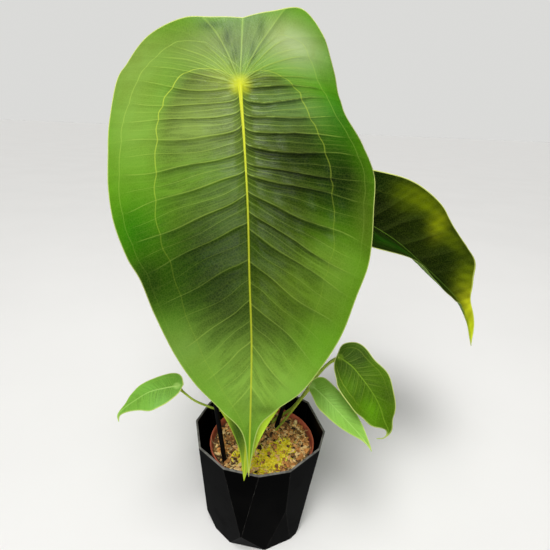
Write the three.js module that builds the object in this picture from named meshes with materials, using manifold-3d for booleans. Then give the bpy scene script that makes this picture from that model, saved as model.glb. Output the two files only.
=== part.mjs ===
// Potted anthurium peltigerum: peltate leaves in a nursery pot inside a faceted cachepot.
// Millimetres, +Z up, origin on the table under the middle of the cachepot, +Y away from the viewer.
import * as THREE from 'three';
import * as BufferGeometryUtils from 'three/addons/utils/BufferGeometryUtils.js';
import { ConvexGeometry } from 'three/addons/geometries/ConvexGeometry.js';
import Module from 'manifold-3d';

const wasm = await Module();
wasm.setup();

// Driving dimensions
const gap = 0.3; // between pieces that touch
const potHeight = 130;
const potRimRadius = 75;
const potWall = 2;
const potFloor = 3;
const nurseryCentre = [3, -4];
const nurseryRimRadius = 60;
const nurseryBottomRadius = 43;
const nurseryHeight = 111;
const nurseryWall = 1.2;
const collarHeight = 11;
const collarStep = 1.6;
const drainRadius = 4;
const drainCircle = 28;
const soilEdgeHeight = 108;
const soilCrown = 5;
const bladeThickness = 1;
const stakeDiameter = 5;
const stemDiameter = 16;
const stemTop = 126;
const stemPlace = [-1, 17];
const rootingDepth = 26; // how deep stems and stakes stand below the soil surface

// Rim corners of the cachepot: degrees from the front, positive to the right
const rimCorners = [-120, -92, -58, -27, 2, 27, 63, 85, 128, 155, 183, 213];
// How far each upper facet leans in for each millimetre down, in the same order
const facetLean = [0.12, 0.08, 0.141, 0.058, 0.141, 0.116, 0.14, 0.09, 0.15, 0.06, 0.13, 0.1];
// Lower facets: direction in degrees, distance from the axis at the table, lean
const lowerFacets = [
  [-74, 54, 0.42],
  [-10.5, 50.8, 0.485],
  [27, 53.2, 0.199],
  [72, 55, 0.27],
  [118, 52, 0.44],
  [164, 54, 0.2],
  [206, 51, 0.46],
  [250, 54, 0.26],
];

// Blades. The spine runs from behind the petiole to the tip of the leaf, and `root` is the spine
// point where the petiole joins. `face` is where the upper surface looks. Each margin row gives
// the place on the spine where a lateral vein starts, then where it meets the left margin and the
// right margin: across, and along the spine from the petiole. `fan` is the last row that starts
// at the petiole. A half holds [fold at base, fold at tip, crown at base, crown at tip], which
// change over the stretch of the spine that `turn` gives. `dip` bows the lateral veins.
const blades = {
  main: {
    spine: [
      [-30, 51, 550], [-29, 31, 520], [-28, 12, 490], [-22, -12, 446], [-16, -36, 391],
      [-12, -56, 334], [-8, -71, 276], [-7, -81, 217], [-7, -87, 141],
    ],
    root: 2,
    face: [0, -1, 0.3],
    left: [0, 0, 0.0017, 0.0017],
    right: [0, 0, 0.004, 0.0017],
    turn: [0, 147],
    fan: 5,
    dip: 14,
    margin: [
      [0, 0, -71, 0, -71], [0, -28, -72, 27, -81], [0, -55, -74, 56, -93],
      [0, -84, -68, 77, -77], [0, -102, -54, 86, -52], [0, -115, -34, 92, -29],
      [10, -124, -6, 95, -6], [25, -129, 14, 98, 20], [45, -131, 45, 113, 50],
      [66, -132, 80, 120, 80], [84, -127, 120, 115, 115], [104, -114, 153, 108, 163],
      [130, -100, 175, 94, 198], [160, -87, 206, 81, 226], [192, -71, 243, 64, 252],
      [225, -50, 274, 44, 278], [262, -27, 297, 22, 296], [305, -7, 320, 7, 316],
      [367, 0, 367, 0, 367],
    ],
    across: [0, 0.035, 0.2, 0.42, 0.63, 0.83, 1],
    stepsPerRow: 3,
    relief: { quilt: 1.4, rib: 1.2, collective: 0.7, wave: 1.5, waves: 3 },
    color: 0x4f7a26,
  },
  behind: {
    spine: [
      [-26, 22, 424], [-22, -3, 385], [-18, -25, 338], [-15, -42, 295], [-14, -58, 252],
      [-12, -69, 215], [-11, -76, 175], [-12, -79, 128],
    ],
    root: 1,
    face: [0, -1, 0.3],
    left: [0, 0, 0.0017, 0.0017],
    right: [0, 0, 0.0017, 0.0017],
    turn: [0, 108],
    fan: 2,
    dip: 8,
    margin: [
      [0, 0, -52, 0, -52], [0, -30, -56, 28, -56], [0, -62, -48, 54, -47],
      [5, -84, -18, 72, -16], [28, -90, 25, 79, 28], [60, -85, 75, 80, 78],
      [98, -72, 120, 73, 125], [140, -50, 160, 54, 165], [185, -27, 190, 30, 193],
      [222, -8, 229, 12, 226], [271, 0, 271, 0, 271],
    ],
    across: [0, 0.05, 0.35, 0.68, 1],
    stepsPerRow: 3,
    relief: { quilt: 1, rib: 0.9, collective: 0.4, wave: 1, waves: 2 },
    color: 0x6f9a2a,
  },
  right: {
    spine: [
      [10, 76, 374], [55, 75, 373], [86, 75, 365], [122, 74, 351], [153, 73, 333],
      [181, 71, 311], [209, 68, 288], [230, 65, 268], [245, 62, 243], [254, 60, 212],
    ],
    root: 1,
    face: [0, -0.36, 0.93],
    left: [0.25, 0.54, 0, 0],
    right: [0.38, 0.38, 0, 0],
    turn: [30, 120],
    fan: 3,
    dip: 6,
    margin: [
      [0, 0, -40, 0, -40], [0, -22, -43, 28, -45], [0, -42, -32, 52, -28],
      [0, -55, -5, 66, 8], [15, -70, 38, 77, 55], [35, -79, 76, 86, 85],
      [60, -75, 112, 87, 116], [90, -65, 145, 79, 145], [120, -52, 170, 68, 170],
      [150, -38, 188, 58, 194], [180, -24, 203, 34, 205], [210, -13, 220, 17, 216],
      [240, -6, 240, 9, 238], [270, 0, 270, 0, 270],
    ],
    across: [0, 0.05, 0.3, 0.6, 0.82, 1],
    stepsPerRow: 3,
    relief: { quilt: 1.2, rib: 1, collective: 0.5, wave: 1.2, waves: 3 },
    color: 0x4a6a14,
  },
  small_left: {
    spine: [
      [-79, -29, 202], [-86, -31, 201], [-99, -35, 200], [-112, -39, 198], [-124, -44, 192],
      [-135, -49, 185], [-141, -52, 178], [-140, -54, 170],
    ],
    root: 1,
    face: [-0.1, -0.5, 0.85],
    left: [0, 0, 0.012, 0.012],
    right: [0, 0, 0.004, 0.004],
    turn: [0, 26],
    fan: 2,
    dip: 2,
    margin: [
      [0, 0, -7, 0, -7], [0, -10, -6, 3, -5], [0, -17, 0, 9, 0], [5, -18, 11, 15, 10],
      [14, -15, 24, 19, 22], [26, -13, 36, 19, 34], [39, -9, 46, 12, 44], [53, -3, 56, 5, 57],
      [73, 0, 73, 0, 73],
    ],
    across: [0, 0.07, 0.36, 0.7, 1],
    stepsPerRow: 2,
    relief: { quilt: 0.3, rib: 0.4, collective: 0.1, wave: 0.4, waves: 2 },
    color: 0x78a83c,
  },
  small_upper: {
    spine: [
      [73, -8, 238], [81, -15, 233], [93, -22, 227], [103, -29, 218], [113, -36, 207],
      [121, -42, 195], [126, -47, 182], [131, -50, 171], [127, -53, 165], [118, -55, 165],
    ],
    root: 1,
    face: [-0.1, -0.65, 0.75],
    left: [0.1, 0.1, 0.002, 0.002],
    right: [0.1, 0.1, 0.002, 0.002],
    turn: [0, 36],
    fan: 2,
    dip: 4,
    margin: [
      [0, 0, -4, 0, -4], [0, -8, -1, 11, -8], [0, -17, 5, 20, -3], [3, -24, 15, 25, 10],
      [12, -27, 29, 23, 24], [24, -27, 45, 25, 42], [38, -25, 58, 19, 58], [55, -17, 75, 13, 73],
      [74, -6, 84, 6, 86], [93, -1, 94, 1, 95], [107, 0, 107, 0, 107],
    ],
    across: [0, 0.07, 0.36, 0.7, 1],
    stepsPerRow: 2,
    relief: { quilt: 0.5, rib: 0.5, collective: 0.2, wave: 0.5, waves: 2 },
    color: 0x5f8a2c,
  },
  small_lower: {
    spine: [
      [48, -6, 196], [55, -11, 194], [65, -20, 190], [77, -30, 183], [89, -40, 175],
      [101, -50, 167], [109, -58, 161], [114, -63, 155],
    ],
    root: 1,
    face: [-0.1, -0.6, 0.8],
    left: [0.1, 0.1, 0.002, 0.002],
    right: [0.1, 0.1, 0.002, 0.002],
    turn: [0, 36],
    fan: 2,
    dip: 2,
    margin: [
      [0, 0, -3, 0, -3], [0, -5, -1, 7, -3], [0, -9, 9, 15, 3], [6, -13, 20, 16, 15],
      [18, -13, 34, 15, 30], [32, -11, 48, 13, 48], [48, -7, 62, 9, 63], [66, -2, 75, 4, 76],
      [88, 0, 88, 0, 88],
    ],
    across: [0, 0.08, 0.36, 0.7, 1],
    stepsPerRow: 2,
    relief: { quilt: 0.3, rib: 0.4, collective: 0.1, wave: 0.3, waves: 2 },
    color: 0x7fae48,
  },
};

// Petioles: points from the soil surface up to the blade, and the radius at foot and top.
// `depth` is how deep the foot stands. The last point is left out: it is the blade's root.
const petioles = {
  main: {
    path: [[-9, 32, 112], [-12, 38, 220], [-17, 52, 340], [-23, 55, 420], [-27, 40, 468]],
    foot: 4,
    top: 3.2,
    depth: 24,
  },
  behind: {
    path: [[-14, 19, 112], [-18, 22, 200], [-22, 27, 290], [-24, 24, 345]],
    foot: 3.2,
    top: 2.5,
    depth: 24,
  },
  right: {
    path: [[6, 33, 112], [18, 48, 200], [34, 66, 290], [46, 78, 345]],
    foot: 3.4,
    top: 2.6,
    depth: 24,
  },
  small_left: {
    path: [[-12, 4, 112], [-31, -10, 149], [-50, -20, 166], [-68, -26, 179], [-80, -26, 189]],
    foot: 1.3,
    top: 1.2,
    depth: 12,
  },
  small_upper: {
    path: [
      [15, 28, 112], [26, 27, 124], [37, 22, 138], [47, 12, 162], [61, 1, 199], [72, -6, 220],
    ],
    foot: 2,
    top: 1.7,
    depth: 16,
  },
  small_lower: {
    path: [[18, 11, 112], [26, 9, 127], [36, 5, 147], [45, -1, 168], [51, -7, 183]],
    foot: 1.3,
    top: 1.1,
    depth: 12,
  },
};
const petioleSides = 8;
const petioleSteps = 16;

const stakes = {
  stake_left: { foot: [-37, -35, 112], lean: [-0.16, 0.15], top: 340 },
  stake_right: { foot: [19, 18, 112], lean: [0.26, 0.12], top: 300 },
};

const soilRings = 8;
const soilSides = 26;
const chipCount = 34;
const chipSeed = 7;
const chipSpread = 48;

// Materials
function material(color, roughness, metalness = 0) {
  return new THREE.MeshStandardMaterial({ color, roughness, metalness, side: THREE.FrontSide });
}

function piece(name, geometry, finish) {
  const mesh = new THREE.Mesh(geometry, finish);
  mesh.name = name;
  return mesh;
}

// Small numbers
const mix = (from, to, share) => from + (to - from) * share;
const radians = THREE.MathUtils.degToRad;
const smoothstep = THREE.MathUtils.smoothstep;
const vector = (point) => new THREE.Vector3(...point);

function randomFrom(seed) {
  let state = seed;
  return () => {
    state = (state * 1664525 + 1013904223) % 4294967296;
    return state / 4294967296;
  };
}

// Welds equal corners and drops the triangles that this closes
function weld(geometry, tolerance = 1e-3) {
  const bare = geometry.clone();
  bare.deleteAttribute('normal');
  bare.deleteAttribute('uv');
  const merged = BufferGeometryUtils.mergeVertices(bare, tolerance);
  const index = merged.index.array;
  const kept = [];
  for (let i = 0; i < index.length; i += 3) {
    const [a, b, c] = [index[i], index[i + 1], index[i + 2]];
    if (a !== b && b !== c && c !== a) kept.push(a, b, c);
  }
  merged.setIndex(kept);
  return merged;
}

function toSolid(geometry) {
  const mesh = weld(geometry);
  return new wasm.Manifold(
    new wasm.Mesh({
      numProp: 3,
      vertProperties: new Float32Array(mesh.attributes.position.array),
      triVerts: new Uint32Array(mesh.index.array),
    }),
  );
}

function fromSolid(solid) {
  const mesh = solid.getMesh();
  const geometry = new THREE.BufferGeometry();
  geometry.setAttribute('position', new THREE.BufferAttribute(mesh.vertProperties, 3));
  geometry.setIndex([...mesh.triVerts]);
  return geometry;
}

// A point on the smooth curve through rows of numbers, at a place counted in rows
function along(rows, place) {
  const last = rows.length - 1;
  const i = Math.min(Math.max(Math.floor(place), 0), last - 1);
  const t = place - i;
  const start = rows[i];
  const end = rows[i + 1];
  const before = i > 0 ? rows[i - 1] : start.map((value, k) => 2 * value - end[k]);
  const after = i < last - 1 ? rows[i + 2] : end.map((value, k) => 2 * value - start[k]);
  return start.map((value, k) => {
    const slopeIn = (end[k] - before[k]) / 2;
    const slopeOut = (after[k] - value) / 2;
    return (
      value * (2 * t ** 3 - 3 * t ** 2 + 1) +
      slopeIn * (t ** 3 - 2 * t ** 2 + t) +
      end[k] * (3 * t ** 2 - 2 * t ** 3) +
      slopeOut * (t ** 3 - t ** 2)
    );
  });
}

// A convex solid held in by leaning side planes, from z = low to z = high
function facetedSolid(planes, low, high) {
  const all = [
    ...planes,
    { normal: new THREE.Vector3(0, 0, 1), reach: high },
    { normal: new THREE.Vector3(0, 0, -1), reach: -low },
  ];
  const corners = [];
  for (let i = 0; i < all.length; i += 1) {
    for (let j = i + 1; j < all.length; j += 1) {
      for (let k = j + 1; k < all.length; k += 1) {
        const rows = new THREE.Matrix3().set(
          ...all[i].normal.toArray(),
          ...all[j].normal.toArray(),
          ...all[k].normal.toArray(),
        );
        if (Math.abs(rows.determinant()) < 1e-6) continue;
        const corner = new THREE.Vector3(all[i].reach, all[j].reach, all[k].reach);
        corner.applyMatrix3(rows.invert());
        const inside = all.every((plane) => plane.normal.dot(corner) < plane.reach + 1e-5);
        if (inside && !corners.some((other) => other.distanceTo(corner) < 0.01)) {
          corners.push(corner);
        }
      }
    }
  }
  return new ConvexGeometry(corners);
}

// A side plane at an angle from the front, at a distance from the axis at one height, moved in
function sidePlane(degrees, distance, height, lean, inset) {
  const angle = radians(degrees);
  const normal = new THREE.Vector3(Math.sin(angle), -Math.cos(angle), -lean);
  const reach = distance - lean * height;
  const size = normal.length();
  return { normal: normal.divideScalar(size), reach: reach / size - inset };
}

function cachepotPlanes(inset) {
  const planes = rimCorners.map((corner, i) => {
    const next = i + 1 < rimCorners.length ? rimCorners[i + 1] : rimCorners[0] + 360;
    const distance = potRimRadius * Math.cos(radians((next - corner) / 2));
    return sidePlane((corner + next) / 2, distance, potHeight, facetLean[i], inset);
  });
  for (const [degrees, distance, lean] of lowerFacets) {
    planes.push(sidePlane(degrees, distance, 0, lean, inset));
  }
  return planes;
}

function cachepot() {
  const outside = toSolid(facetedSolid(cachepotPlanes(0), 0, potHeight));
  const inside = toSolid(facetedSolid(cachepotPlanes(potWall), potFloor, potHeight + 10));
  return fromSolid(outside.subtract(inside));
}

// Nursery pot: thin walled, with a collar at the rim and drain holes in the floor
const nurseryFoot = potFloor + gap;
const nurseryRim = nurseryFoot + nurseryHeight;
const nurseryWaist = nurseryRimRadius - collarStep - 1;

// Radius of the inner wall below the collar
function nurseryInside(height) {
  const share = (height - nurseryFoot - nurseryWall) / (nurseryHeight - collarHeight);
  return mix(nurseryBottomRadius, nurseryWaist, share) - nurseryWall;
}

function turned(profile, sides) {
  const points = profile.map(([radius, height]) => new THREE.Vector2(radius, height));
  const geometry = new THREE.LatheGeometry(points, sides);
  geometry.rotateX(Math.PI / 2);
  geometry.translate(nurseryCentre[0], nurseryCentre[1], 0);
  return geometry;
}

function nurseryPot() {
  const collar = nurseryRim - collarHeight;
  const shell = turned(
    [
      [0, nurseryFoot],
      [nurseryBottomRadius, nurseryFoot],
      [nurseryWaist, collar],
      [nurseryRimRadius - 1, collar],
      [nurseryRimRadius, nurseryRim],
      [nurseryRimRadius - nurseryWall, nurseryRim],
      [nurseryRimRadius - nurseryWall - 1.2, collar + nurseryWall],
      [nurseryWaist - nurseryWall, collar + nurseryWall],
      [nurseryBottomRadius - nurseryWall, nurseryFoot + nurseryWall],
      [0, nurseryFoot + nurseryWall],
    ],
    32,
  );
  let pot = toSolid(shell);
  const holes = 6;
  for (let i = 0; i < holes; i += 1) {
    const angle = (i / holes) * 2 * Math.PI;
    const drain = new THREE.CylinderGeometry(drainRadius, drainRadius, 6, 8);
    drain.rotateX(Math.PI / 2);
    drain.translate(
      nurseryCentre[0] + drainCircle * Math.cos(angle),
      nurseryCentre[1] + drainCircle * Math.sin(angle),
      nurseryFoot,
    );
    pot = pot.subtract(toSolid(drain));
  }
  return fromSolid(pot);
}

// A tapered tube along a curve, closed at both ends
function tapered(curve, footRadius, topRadius, sides, steps) {
  const tube = new THREE.CylinderGeometry(1, 1, 1, sides, steps);
  const frames = curve.computeFrenetFrames(steps, false);
  const position = tube.attributes.position;
  for (let i = 0; i < position.count; i += 1) {
    const share = position.getY(i) + 0.5;
    const step = Math.round(share * steps);
    const radius = mix(footRadius, topRadius, share);
    const point = curve.getPointAt(step / steps);
    point.addScaledVector(frames.normals[step], position.getX(i) * radius);
    point.addScaledVector(frames.binormals[step], -position.getZ(i) * radius);
    position.setXYZ(i, point.x, point.y, point.z);
  }
  return tube;
}

// Blade frame: place, direction to the tip, across to the right, and up from the upper surface
function bladeSpine(blade) {
  const samples = [];
  const perSpan = 24;
  const spans = (blade.spine.length - 1) * perSpan;
  for (let i = 0; i <= spans; i += 1) {
    samples.push(vector(along(blade.spine, i / perSpan)));
  }
  const reach = [0];
  for (let i = 1; i <= spans; i += 1) {
    reach.push(reach[i - 1] + samples[i].distanceTo(samples[i - 1]));
  }
  const rootReach = reach[blade.root * perSpan];
  const face = vector(blade.face);

  function place(b) {
    const target = b + rootReach;
    let i = 1;
    while (i < spans && reach[i] < target) i += 1;
    const share = (target - reach[i - 1]) / (reach[i] - reach[i - 1]);
    return samples[i - 1].clone().lerp(samples[i], share);
  }

  return (b) => {
    const origin = place(b);
    const towardsTip = place(b + 4).sub(place(b - 4)).normalize();
    const up = face.clone().addScaledVector(towardsTip, -face.dot(towardsTip)).normalize();
    const acrossRight = up.clone().cross(towardsTip);
    return { origin, towardsTip, up, acrossRight };
  };
}

// The upper surface of a blade without relief: how far it rises from the spine's own plane
function bladeForm(blade, across, b) {
  const [foldBase, foldTip, crownBase, crownTip] = across < 0 ? blade.left : blade.right;
  const share = smoothstep(b, ...blade.turn);
  const fold = mix(foldBase, foldTip, share);
  const crown = mix(crownBase, crownTip, share);
  return Math.abs(across) * fold - across * across * crown;
}

// Flat place on a blade: u runs from the spine to the margin, v from the back edge to the tip
function bladePlace(blade, side, u, v) {
  const rows = blade.margin;
  const place = v * (rows.length - 1);
  const row = along(rows, place);
  const start = place <= blade.fan ? 0 : Math.max(row[0], 0);
  const [across, b] = side < 0 ? [row[1], row[2]] : [row[3], row[4]];
  const bow = blade.dip * smoothstep(v, 0.2, 0.35) * (1 - smoothstep(v, 0.5, 0.75));
  return [across * u, start + (b - start) * u + bow * (Math.sqrt(u) - u)];
}

// Ribs, quilted panels between the lateral veins, the vein inside the margin and the waved edge
function bladeRelief(blade, u, v) {
  const { quilt, rib, collective, wave, waves } = blade.relief;
  const veins = blade.margin.length - 1;
  const row = v * veins;
  const panel = 0.5 - 0.5 * Math.cos(2 * Math.PI * row);
  const body = Math.sin(Math.PI * Math.min(u, 1));
  const fromFan = smoothstep(row, blade.fan, blade.fan + 1.5) * (1 - smoothstep(v, 0.93, 1));
  const ridge = u === 0 ? rib * fromFan : 0;
  const groove = u === blade.across.at(-3) ? collective : 0;
  const edge = wave * u ** 4 * Math.sin(2 * Math.PI * waves * v);
  return ridge + ((quilt * panel - groove) * body + edge) * (1 - smoothstep(v, 0.8, 0.95));
}

// A blade as one closed solid: upper face, lower face and the narrow edge between them
function bladeSolid(blade) {
  const frameAt = bladeSpine(blade);
  const steps = (blade.margin.length - 1) * blade.stepsPerRow;
  const last = blade.across.length - 1;
  const corners = [];
  const triangles = [];

  function corner(side, i, j, lower) {
    const u = blade.across[i];
    const v = j / steps;
    const [across, b] = bladePlace(blade, side, u, v);
    const { origin, up, acrossRight } = frameAt(b);
    const rise = bladeForm(blade, across, b) + bladeRelief(blade, u, v) - lower * bladeThickness;
    corners.push(...origin.addScaledVector(acrossRight, across).addScaledVector(up, rise).toArray());
    return corners.length / 3 - 1;
  }

  for (const side of [-1, 1]) {
    const upper = [];
    const lower = [];
    for (let j = 0; j <= steps; j += 1) {
      upper.push(blade.across.map((_, i) => corner(side, i, j, 0)));
      lower.push(blade.across.map((_, i) => corner(side, i, j, 1)));
    }
    const face = (a, b, c) => triangles.push(...(side > 0 ? [a, b, c] : [a, c, b]));
    for (let j = 0; j < steps; j += 1) {
      for (let i = 0; i < last; i += 1) {
        face(upper[j][i], upper[j + 1][i], upper[j + 1][i + 1]);
        face(upper[j][i], upper[j + 1][i + 1], upper[j][i + 1]);
        face(lower[j][i], lower[j + 1][i + 1], lower[j + 1][i]);
        face(lower[j][i], lower[j][i + 1], lower[j + 1][i + 1]);
      }
      face(upper[j][last], upper[j + 1][last], lower[j + 1][last]);
      face(upper[j][last], lower[j + 1][last], lower[j][last]);
    }
  }
  const geometry = new THREE.BufferGeometry();
  geometry.setAttribute('position', new THREE.BufferAttribute(new Float32Array(corners), 3));
  geometry.setIndex(triangles);
  return weld(geometry);
}

// A petiole from its foot in the soil to the back of its blade
function petioleCurve(name, extraDepth) {
  const root = bladeSpine(blades[name])(0).origin;
  const points = petioles[name].path.map(vector);
  const foot = points[0].clone();
  foot.z -= petioles[name].depth + extraDepth;
  return new THREE.CatmullRomCurve3([foot, ...points, root], false, 'centripetal');
}

function petiole(name) {
  const { foot, top } = petioles[name];
  const tube = tapered(petioleCurve(name, 0), foot, top, petioleSides, petioleSteps);
  const { origin, up, towardsTip } = bladeSpine(blades[name])(0);
  // The top is cut parallel to the back of the blade
  const block = new THREE.BoxGeometry(60, 60, 40);
  block.translate(0, 0, 20);
  const seat = new THREE.Matrix4().makeBasis(up.clone().cross(towardsTip).negate(), towardsTip, up);
  seat.setPosition(origin.addScaledVector(up, -bladeThickness - gap));
  block.applyMatrix4(seat);
  return fromSolid(toSolid(tube).subtract(toSolid(block)));
}

// Straight stakes
function stake(name, extra) {
  const { foot, lean, top } = stakes[name];
  const direction = new THREE.Vector3(lean[0], lean[1], 1).normalize();
  const start = vector(foot).addScaledVector(direction, -rootingDepth - extra);
  const end = vector(foot).addScaledVector(direction, (top - foot[2]) / direction.z);
  const rod = new THREE.LineCurve3(start, end);
  return tapered(rod, stakeDiameter / 2 + extra, stakeDiameter / 2 + extra, 12, 1);
}

function stem(extra) {
  const height = stemTop - soilEdgeHeight + rootingDepth;
  const ring = stemDiameter / 2 + extra;
  const trunk = new THREE.CylinderGeometry(ring * 0.8, ring, height + extra, 12, 3);
  trunk.rotateX(Math.PI / 2);
  trunk.translate(...stemPlace, stemTop - (height + extra) / 2);
  return trunk;
}

// Soil surface: a low mound with lumps, level at the pot wall
function soilTop(x, y, radius) {
  const mound = soilCrown * (1 - (radius / nurseryWaist) ** 2);
  const lumps = 1.3 * Math.sin(x * 0.31 + 1.7) * Math.sin(y * 0.27) + 0.9 * Math.sin(x * 0.63 - y * 0.55);
  const grit = 0.7 * Math.sin(x * 1.37 + y * 0.9) * Math.sin(y * 1.71 - x * 0.4);
  return soilEdgeHeight + mound + (lumps + grit) * (1 - (radius / nurseryWaist) ** 6);
}

function substrate() {
  const floor = nurseryFoot + nurseryWall + gap;
  const shoulder = nurseryRim - collarHeight;
  const footRadius = nurseryInside(floor) - gap;
  const topRadius = nurseryInside(shoulder) - gap;
  const profile = [[0, floor], [footRadius, floor], [topRadius, shoulder]];
  for (let i = 0; i <= soilRings; i += 1) {
    profile.push([topRadius * (1 - i / soilRings), soilEdgeHeight]);
  }
  const mass = turned(profile, soilSides);
  const position = mass.attributes.position;
  for (let i = 0; i < position.count; i += 1) {
    const x = position.getX(i) - nurseryCentre[0];
    const y = position.getY(i) - nurseryCentre[1];
    if (position.getZ(i) === soilEdgeHeight) {
      position.setZ(i, soilTop(x, y, Math.hypot(x, y)));
    }
  }
  let soil = toSolid(mass);

  // Bark chips and moss scraps lie half sunk in the surface
  const random = randomFrom(chipSeed);
  for (let i = 0; i < chipCount; i += 1) {
    const distance = chipSpread * Math.sqrt(random());
    const angle = random() * 2 * Math.PI;
    const [x, y] = [distance * Math.cos(angle), distance * Math.sin(angle)];
    const chip = new THREE.BoxGeometry(mix(4, 10, random()), mix(3, 6, random()), mix(2.5, 4, random()));
    chip.rotateX(mix(-0.4, 0.4, random()));
    chip.rotateY(mix(-0.4, 0.4, random()));
    chip.rotateZ(random() * Math.PI);
    chip.translate(nurseryCentre[0] + x, nurseryCentre[1] + y, soilTop(x, y, distance) - 0.4);
    soil = soil.add(toSolid(chip));
  }

  // Plain holes for what stands in it
  const clear = gap + 0.05;
  for (const name of Object.keys(petioles)) {
    const { foot, top } = petioles[name];
    const curve = petioleCurve(name, clear);
    const hole = tapered(curve, foot + clear, top + clear, petioleSides, petioleSteps);
    soil = soil.subtract(toSolid(hole));
  }
  for (const name of Object.keys(stakes)) {
    soil = soil.subtract(toSolid(stake(name, clear)));
  }
  soil = soil.subtract(toSolid(stem(clear)));
  return fromSolid(soil);
}

const plant = new THREE.Group();
plant.add(piece('cachepot', cachepot(), material(0x16171a, 0.32)));
plant.add(piece('nursery_pot', nurseryPot(), material(0x9c5540, 0.6)));
plant.add(piece('substrate', substrate(), material(0x74573a, 0.95)));
plant.add(piece('stem', stem(0), material(0x6b6a3a, 0.8)));
for (const name of Object.keys(stakes)) {
  plant.add(piece(name, stake(name, 0), material(0x0c0c0e, 0.5)));
}
for (const name of Object.keys(blades)) {
  plant.add(piece(`petiole_${name}`, petiole(name), material(0x93a83c, 0.5)));
  plant.add(piece(`blade_${name}`, bladeSolid(blades[name]), material(blades[name].color, 0.4)));
}

export default plant;
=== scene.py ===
import math
import random
from types import SimpleNamespace

import bmesh
import bpy
import numpy as np
from mathutils import Matrix, Vector, noise


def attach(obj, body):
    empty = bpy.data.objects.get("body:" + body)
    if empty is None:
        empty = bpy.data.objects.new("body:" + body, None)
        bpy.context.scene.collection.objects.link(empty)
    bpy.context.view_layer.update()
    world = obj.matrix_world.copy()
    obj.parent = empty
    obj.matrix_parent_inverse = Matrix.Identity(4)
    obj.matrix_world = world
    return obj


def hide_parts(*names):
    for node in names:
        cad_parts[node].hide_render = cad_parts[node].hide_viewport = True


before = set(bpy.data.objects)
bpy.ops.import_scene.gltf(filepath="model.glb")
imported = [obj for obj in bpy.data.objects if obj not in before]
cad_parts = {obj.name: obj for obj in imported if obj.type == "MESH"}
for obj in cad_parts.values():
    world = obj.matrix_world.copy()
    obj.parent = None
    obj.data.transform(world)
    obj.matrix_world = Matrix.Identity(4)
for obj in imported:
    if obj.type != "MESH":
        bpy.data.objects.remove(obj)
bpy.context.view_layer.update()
mm = 0.001
print("frame loaded")


# Camera: where the photograph was taken from

camera = {
    "focalPx": 415,
    "framePx": 550,
    "sensor": 36,
    "pitch": 20,  # degrees down
    "roll": 2.4,
    "place": (10, -392, 458),
    "nearest": 0.01,
}


def makeCamera():
    data = bpy.data.cameras.new("camera")
    data.sensor_width = camera["sensor"]
    data.lens = camera["sensor"] * camera["focalPx"] / camera["framePx"]
    data.clip_start = camera["nearest"]
    eye = placed("camera", data)
    pitch = Matrix.Rotation(math.radians(90 - camera["pitch"]), 4, "X")
    roll = Matrix.Rotation(math.radians(camera["roll"]), 4, "Z")
    eye.matrix_world = Matrix.Translation(Vector(camera["place"]) * mm) @ pitch @ roll
    bpy.context.scene.camera = eye


# Numbers and curves


def smoothstep(value, low, high):
    t = np.clip((np.asarray(value, float) - low) / (high - low), 0, 1)
    return t * t * (3 - 2 * t)


def fading(value, low, high):
    return 1 - smoothstep(value, low, high)


def bell(value, middle, width):
    return np.exp(-(((value - middle) / width) ** 2))


def unit(vectors):
    return vectors / np.linalg.norm(vectors, axis=1)[:, None]


def throughRows(rows, place):
    # a smooth curve through rows of numbers, read at places counted in rows
    rows = np.asarray(rows, float)
    padded = np.vstack([2 * rows[0] - rows[1], rows, 2 * rows[-1] - rows[-2]])
    i = np.clip(np.floor(place).astype(int), 0, len(rows) - 2)
    t = (place - i)[:, None]
    before, start, end, after = padded[i], padded[i + 1], padded[i + 2], padded[i + 3]
    return (
        start * (2 * t**3 - 3 * t**2 + 1)
        + (end - before) / 2 * (t**3 - 2 * t**2 + t)
        + end * (3 * t**2 - 2 * t**3)
        + (after - start) / 2 * (t**3 - t**2)
    )


def reachOf(points):
    # how far along it each point of a curve is
    return np.r_[0, np.cumsum(np.linalg.norm(np.diff(points, axis=0), axis=1))]


def atReach(place, reach, points):
    return np.stack([np.interp(place, reach, points[:, k]) for k in range(3)], axis=1)


def resample(points, count, perPoint=60):
    # evenly spaced points on the smooth curve through the given ones
    fine = throughRows(points, np.linspace(0, len(points) - 1, perPoint * len(points)))
    reach = reachOf(fine)
    return atReach(np.linspace(0, reach[-1], count), reach, fine)


# Shader helpers


def rgb(*screen):
    # screen values to the linear ones that a shader takes
    shares = [value / 255 for value in screen]
    return (*(s / 12.92 if s <= 0.04045 else ((s + 0.055) / 1.055) ** 2.4 for s in shares), 1.0)


def put(tree, kind, inputs=None, **settings):
    made = tree.nodes.new("ShaderNode" + kind)
    for key, value in settings.items():
        setattr(made, key, value)
    for key, value in (inputs or {}).items():
        if isinstance(value, bpy.types.NodeSocket):
            tree.links.new(value, made.inputs[key])
        else:
            made.inputs[key].default_value = value
    return made


def maths(tree, operation, *values):
    return put(tree, "Math", dict(enumerate(values)), operation=operation).outputs[0]


def times(tree, *values):
    result = values[0]
    for value in values[1:]:
        result = maths(tree, "MULTIPLY", result, value)
    return result


def mixed(tree, factor, first, second, mode="MIX"):
    inputs = {0: factor, 6: first, 7: second}
    return put(tree, "Mix", inputs, data_type="RGBA", blend_type=mode).outputs[2]


def layered(tree, colour, *layers):
    # lays tones over a colour, one after another; a layer is its share, its tone and maybe a mode
    for share, tone, *mode in layers:
        colour = mixed(tree, share, colour, tone, *mode)
    return colour


def rise(tree, value, low, high, start=0.0, end=1.0):
    inputs = {0: value, 1: low, 2: high, 3: start, 4: end}
    return put(tree, "MapRange", inputs, interpolation_type="SMOOTHSTEP").outputs[0]


def field(tree, name, output="Fac"):
    return put(tree, "Attribute", attribute_name=name, attribute_type="GEOMETRY").outputs[output]


def partsOf(tree, vector):
    return put(tree, "SeparateXYZ", {0: vector}).outputs


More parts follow.
